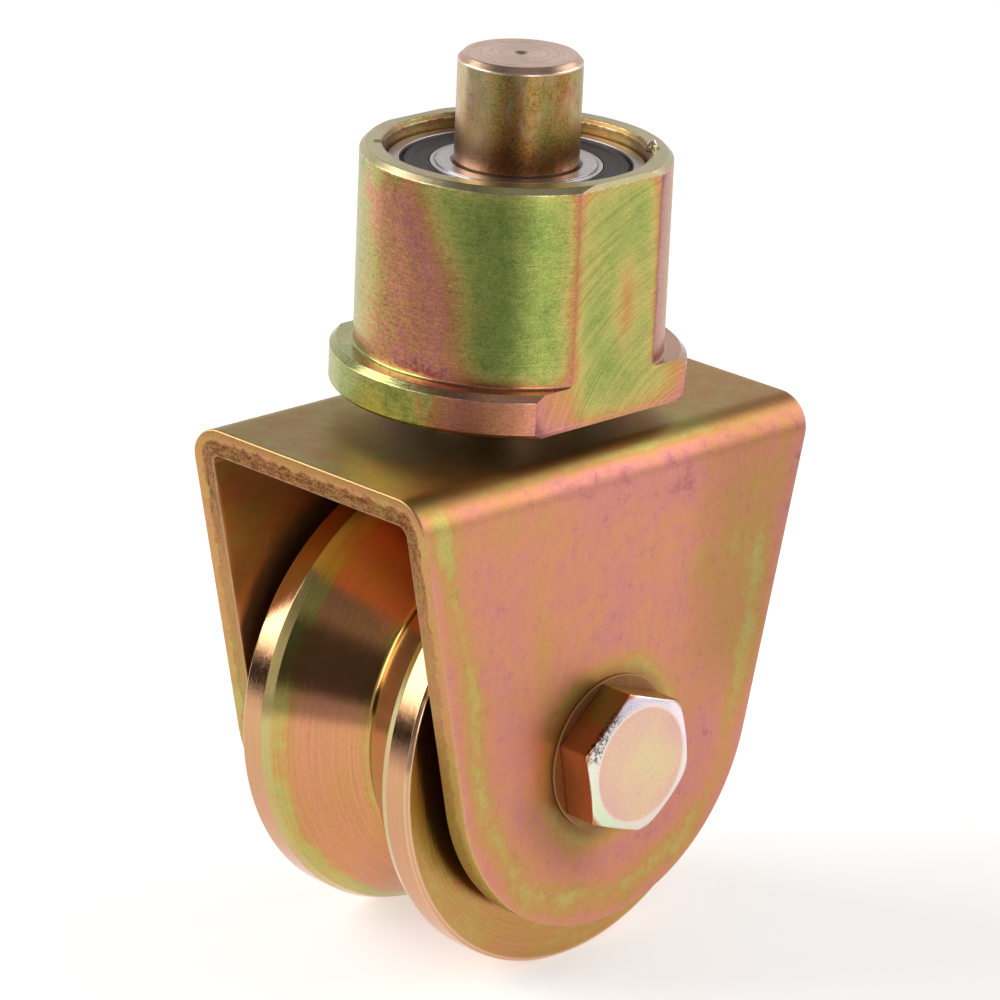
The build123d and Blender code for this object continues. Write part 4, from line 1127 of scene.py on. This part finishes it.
def nut():
    out = hexagon(HEAD_AF, 15.0)
    hexr = HEAD_AF / 2 / math.cos(math.pi / 6)
    hx = 9.6
    k0 = 1.7 / 2.9

    def lo(q):
        return max(0.10, (q - (hexr - 0.9)) * k0)

    rows = [lambda q: (7.2, 0.0), lambda q: (9.5, 0.0), lambda q: (min(q - 0.12, hexr - 0.9), 0.0), lambda q: (q - 0.03, lo(q) * 0.6), lambda q: (q, lo(q) + 0.04)]
    for f in np.linspace(0.06, 0.94, 9):
        rows.append(lambda q, f=f: (q, lo(q) + (hx - 2 * lo(q)) * f))
    rows += [lambda q: (q, hx - lo(q) - 0.04), lambda q: (q - 0.03, hx - lo(q) * 0.6), lambda q: (min(q - 0.12, hexr - 0.9), hx),
             lambda q: (10.4, hx), lambda q: (10.05, hx + 0.08), lambda q: (9.92, hx + 0.30), lambda q: (9.9, hx + 1.4)]
    for d in np.linspace(0, 90, 7):
        rows.append(lambda q, d=d: (8.55 + 1.35 * math.cos(math.radians(d)), NUT_H - 1.8 + 1.8 * math.sin(math.radians(d))))
    rows += [lambda q: (8.15, NUT_H - 0.05), lambda q: (8.0, NUT_H - 0.25), lambda q: (8.05, NUT_H - 0.8), lambda q: (9.0, NUT_H - 2.0), lambda q: (9.05, NUT_H - 3.3), lambda q: (7.2, NUT_H - 3.4)]
    base = FORK_Y + WASHER_T
    verts, faces = polar_rows(out, rows, lambda h: base + h)
    n, last = len(out), len(rows) - 1
    for i in range(n):
        i2 = (i + 1) % n
        faces.append([last * n + i, last * n + i2, i2, i])
    ob = make_object("nut", verts, faces, m_bolt, "fork", ["lock_nut"])
    clean(ob, 4e-6)
    ob.data.polygons.foreach_set("use_smooth", [True] * len(ob.data.polygons))
    ob.data.set_sharp_from_angle(angle=math.radians(50))


nut()
base = FORK_Y + WASHER_T
turned("nylon_ring", [(7.02, base + NUT_H - 3.4), (9.1, base + NUT_H - 3.4), (9.1, base + NUT_H - 2.0, 0.2), (8.2, base + NUT_H - 0.95, 0.2),
                      (7.02, base + NUT_H - 0.95, 0.3)], m_nylon, "fork", "nylon", ["lock_nut_insert"], axis="Y", centre=(0, 0, AXLE_Z), n=144)

# ------------------------------------------------------------------ pieces kept from model.glb
KEEP = {
    "upper_bearing_balls": (m_ball, "bearing_ball"), "lower_bearing_balls": (m_ball, "bearing_ball"),
    "nut_side_bearing_balls": (m_ball, "bearing_ball"), "head_side_bearing_balls": (m_ball, "bearing_ball"),
    "upper_bearing_cage": (m_cage, "bearing_cage"), "lower_bearing_cage": (m_cage, "bearing_cage"),
    "nut_side_bearing_cage": (m_cage, "bearing_cage"), "head_side_bearing_cage": (m_cage, "bearing_cage"),
    "bearing_spacer_tube": (m_spacer, "spacer_steel"), "axle_sleeve": (m_spacer, "spacer_steel"), "hub_spacer": (m_spacer, "spacer_steel"),
    "nut_side_spacer": (m_spacer, "spacer_steel"), "head_side_spacer": (m_spacer, "spacer_steel"),
    "nut_side_bearing_seals": (m_seal, "seal_rubber"), "head_side_bearing_seals": (m_seal, "seal_rubber"),
    "nut_side_snap_ring": (m_spring, "spring_steel"), "head_side_snap_ring": (m_spring, "spring_steel"),
}
for name, (mat, sl) in KEEP.items():
    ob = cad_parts[name]
    ob.data.materials.clear()
    ob.data.materials.append(mat)

# ------------------------------------------------------------------ floor, light and camera
FLOOR = (lo_w.z / MM) * MM
m_floor, g = material("studio_floor")
x, y, z = g.coords()
fine = g.noise(g.p, 0.02, 3.0, 0.5)
g.put(g.i["Base Color"], g.ramp(fine, [(0.3, (0.86, 0.86, 0.86)), (0.7, (0.88, 0.88, 0.875))]))
g.i["Roughness"].default_value = 0.9
g.i["Specular IOR Level"].default_value = 0.1
g.i["Emission Color"].default_value = (1, 1, 1, 1)
g.i["Emission Strength"].default_value = 0.47
# the table top is open from below, so the wheel and fork can be looked at from there
see = g.new("ShaderNodeBsdfTransparent")
pick = g.new("ShaderNodeMixShader")
side_ = g.new("ShaderNodeNewGeometry")
g.l.new(side_.outputs["Backfacing"], pick.inputs[0])
g.l.new(g.bsdf.outputs[0], pick.inputs[1])
g.l.new(see.outputs[0], pick.inputs[2])
for node in g.n:
    if node.type == "OUTPUT_MATERIAL":
        g.l.new(pick.outputs[0], node.inputs[0])
me = bpy.data.meshes.new("floor")
n = 96
fv, ff = [(0, 0, FLOOR)], []
radii = [0.25, 0.6, 1.2, 2.5, 4.5]
for rr in radii:
    fv += [(rr * math.cos(2 * math.pi * i / n), rr * math.sin(2 * math.pi * i / n), FLOOR) for i in range(n)]
for i in range(n):
    ff.append([0, 1 + i, 1 + (i + 1) % n])
for k in range(len(radii) - 1):
    for i in range(n):
        i2 = (i + 1) % n
        ff.append([1 + k * n + i, 1 + (k + 1) * n + i, 1 + (k + 1) * n + i2, 1 + k * n + i2])
me.from_pydata(fv, [], ff)
me.materials.append(m_floor)
floor = bpy.data.objects.new("floor", me)
scene.collection.objects.link(floor)

world = bpy.data.worlds.new("studio")
scene.world = world
world.use_nodes = True
wt = world.node_tree
wt.nodes.clear()
wg = G(world)
wo = wg.new("ShaderNodeOutputWorld")
bg = wg.new("ShaderNodeBackground")
wg.l.new(bg.outputs[0], wo.inputs[0])
tc = wg.new("ShaderNodeTexCoord")
sep = wg.new("ShaderNodeSeparateXYZ")
wg.l.new(tc.outputs["Generated"], sep.inputs[0])
wx, wy, wz = [V(wg, sep.outputs[i]) for i in range(3)]
sky = wg.ramp(wz * 0.5 + 0.5, [(0.30, (0.9, 0.9, 0.9)), (0.49, (0.60, 0.59, 0.58)), (0.53, (0.62, 0.61, 0.60)), (0.62, (0.64, 0.63, 0.62)),
                               (0.69, (0.56, 0.55, 0.54)), (0.78, (0.25, 0.245, 0.24)), (1.0, (0.09, 0.088, 0.087))])
toward = 1.0 + wg.step(wx * 0.71 + wy * 0.70, 0.3, 0.9) * 0.32
sky = wg.mix(1.0, sky, wg.vec(toward, toward, toward), "MULTIPLY")
wg.l.new(sky, bg.inputs["Color"])
bg.inputs["Strength"].default_value = 1.0


def softbox(name, direction, dist, size_x, size_y, power, target=(0, 0, -0.02), colour=(1, 1, 1)):
    d = Vector(direction).normalized()
    li = bpy.data.lights.new(name, "AREA")
    li.shape, li.size, li.size_y, li.energy, li.color = "RECTANGLE", size_x, size_y, power, colour
    ob = bpy.data.objects.new(name, li)
    scene.collection.objects.link(ob)
    ob.location = Vector(target) + d * dist
    ob.rotation_mode = "QUATERNION"
    ob.rotation_quaternion = (-d).to_track_quat("-Z", "Y")
    return ob


softbox("left_softbox", (-0.66, 0.72, 0.50), 1.1, 1.0, 0.75, 9.0)
softbox("right_softbox", (0.80, -0.42, 0.52), 1.1, 1.0, 0.75, 4.3)
softbox("top_fill", (-0.10, -0.30, 1.0), 1.3, 0.9, 0.9, 0.55)


def card(name, centre, w, h, face, tone, glow=0.0):
    """A dark or glowing card that only shows in reflections."""
    c, f = Vector(centre), Vector(face).normalized()
    right_ = f.cross(Vector((0, 0, 1))).normalized()
    up_ = right_.cross(f)
    mesh = bpy.data.meshes.new(name)
    q = [c + right_ * sx * w / 2 + up_ * sy * h / 2 for sx, sy in ((-1, -1), (1, -1), (1, 1), (-1, 1))]
    mesh.from_pydata([tuple(v) for v in q], [], [(0, 1, 2, 3)])
    m, gg = material(name + "_felt")
    xx, yy, zz_ = gg.coords()
    gg.put(gg.i["Base Color"], gg.ramp(gg.noise(gg.p, 0.05, 2.0, 0.5), [(0.3, (tone, tone * 0.95, tone * 0.92)), (0.7, (tone * 1.2, tone * 1.15, tone * 1.1))]))
    gg.i["Roughness"].default_value = 0.95
    gg.i["Emission Color"].default_value = (1.0, 0.98, 0.95, 1.0)
    gg.i["Emission Strength"].default_value = glow
    mesh.materials.append(m)
    ob = bpy.data.objects.new(name, mesh)
    scene.collection.objects.link(ob)
    ob.visible_camera = False
    ob.visible_diffuse = False
    ob.visible_shadow = False
    return ob


card("dark_card_left", (-0.245, 0.235, FLOOR + 0.044), 0.30, 0.096, (0.728, -0.686, 0.0), 0.02)
card("bright_card_front", (-0.400, -0.917, FLOOR + 0.220), 0.38, 0.44, (0.40, 0.917, 0.0), 0.60, 2.8)
card("dark_card_front", (-0.850, -0.520, 0.176), 0.70, 0.60, (0.825, 0.515, -0.233), 0.03)


def floor_card(name, a0, a1, r0, r1, tone):
    """A grey sector of the table top, seen in reflections only. Angles run clockwise from the camera's side."""
    back_az = math.atan2(-0.66093, -0.67385)
    k = 24
    fv, ff = [], []
    for i in range(k + 1):
        a = back_az - math.radians(a0 + (a1 - a0) * i / k)
        for rr in (r0, r1):
            fv.append((rr * math.cos(a), rr * math.sin(a), FLOOR + 0.0015))
    for i in range(k):
        ff.append((2 * i, 2 * i + 1, 2 * i + 3, 2 * i + 2))
    mesh = bpy.data.meshes.new(name)
    mesh.from_pydata(fv, [], ff)
    m, gg = material(name + "_paper")
    gg.coords()
    gg.put(gg.i["Base Color"], gg.ramp(gg.noise(gg.p, 0.05, 2.0, 0.5), [(0.3, (tone, tone, tone)), (0.7, (tone * 1.1, tone * 1.1, tone * 1.1))]))
    gg.i["Roughness"].default_value = 0.95
    mesh.materials.append(m)
    ob = bpy.data.objects.new(name, mesh)
    scene.collection.objects.link(ob)
    ob.visible_camera = False
    ob.visible_diffuse = False
    ob.visible_shadow = False
    return ob


floor_card("front_card", -15, 82, 0.20, 0.85, 0.58)

cam_data = bpy.data.cameras.new("camera")
cam = bpy.data.objects.new("camera", cam_data)
scene.collection.objects.link(cam)
cam_data.lens, cam_data.sensor_width, cam_data.sensor_fit = 199.35, 36.0, "HORIZONTAL"
cam_data.clip_start, cam_data.clip_end = 0.05, 20.0
right, up_v, back = (0.70989857, -0.70308594, 0.04140275), (0.20486179, 0.2623756, 0.94296908), (-0.67385137, -0.66093056, 0.33029551)
cam.matrix_world = Matrix(((right[0], up_v[0], back[0], -0.604843), (right[1], up_v[1], back[1], -0.592905),
                           (right[2], up_v[2], back[2], 0.269344), (0, 0, 0, 1)))
scene.camera = cam
scene.view_settings.view_transform = "Standard"
scene.view_settings.look = "None"

bpy.context.view_layer.update()
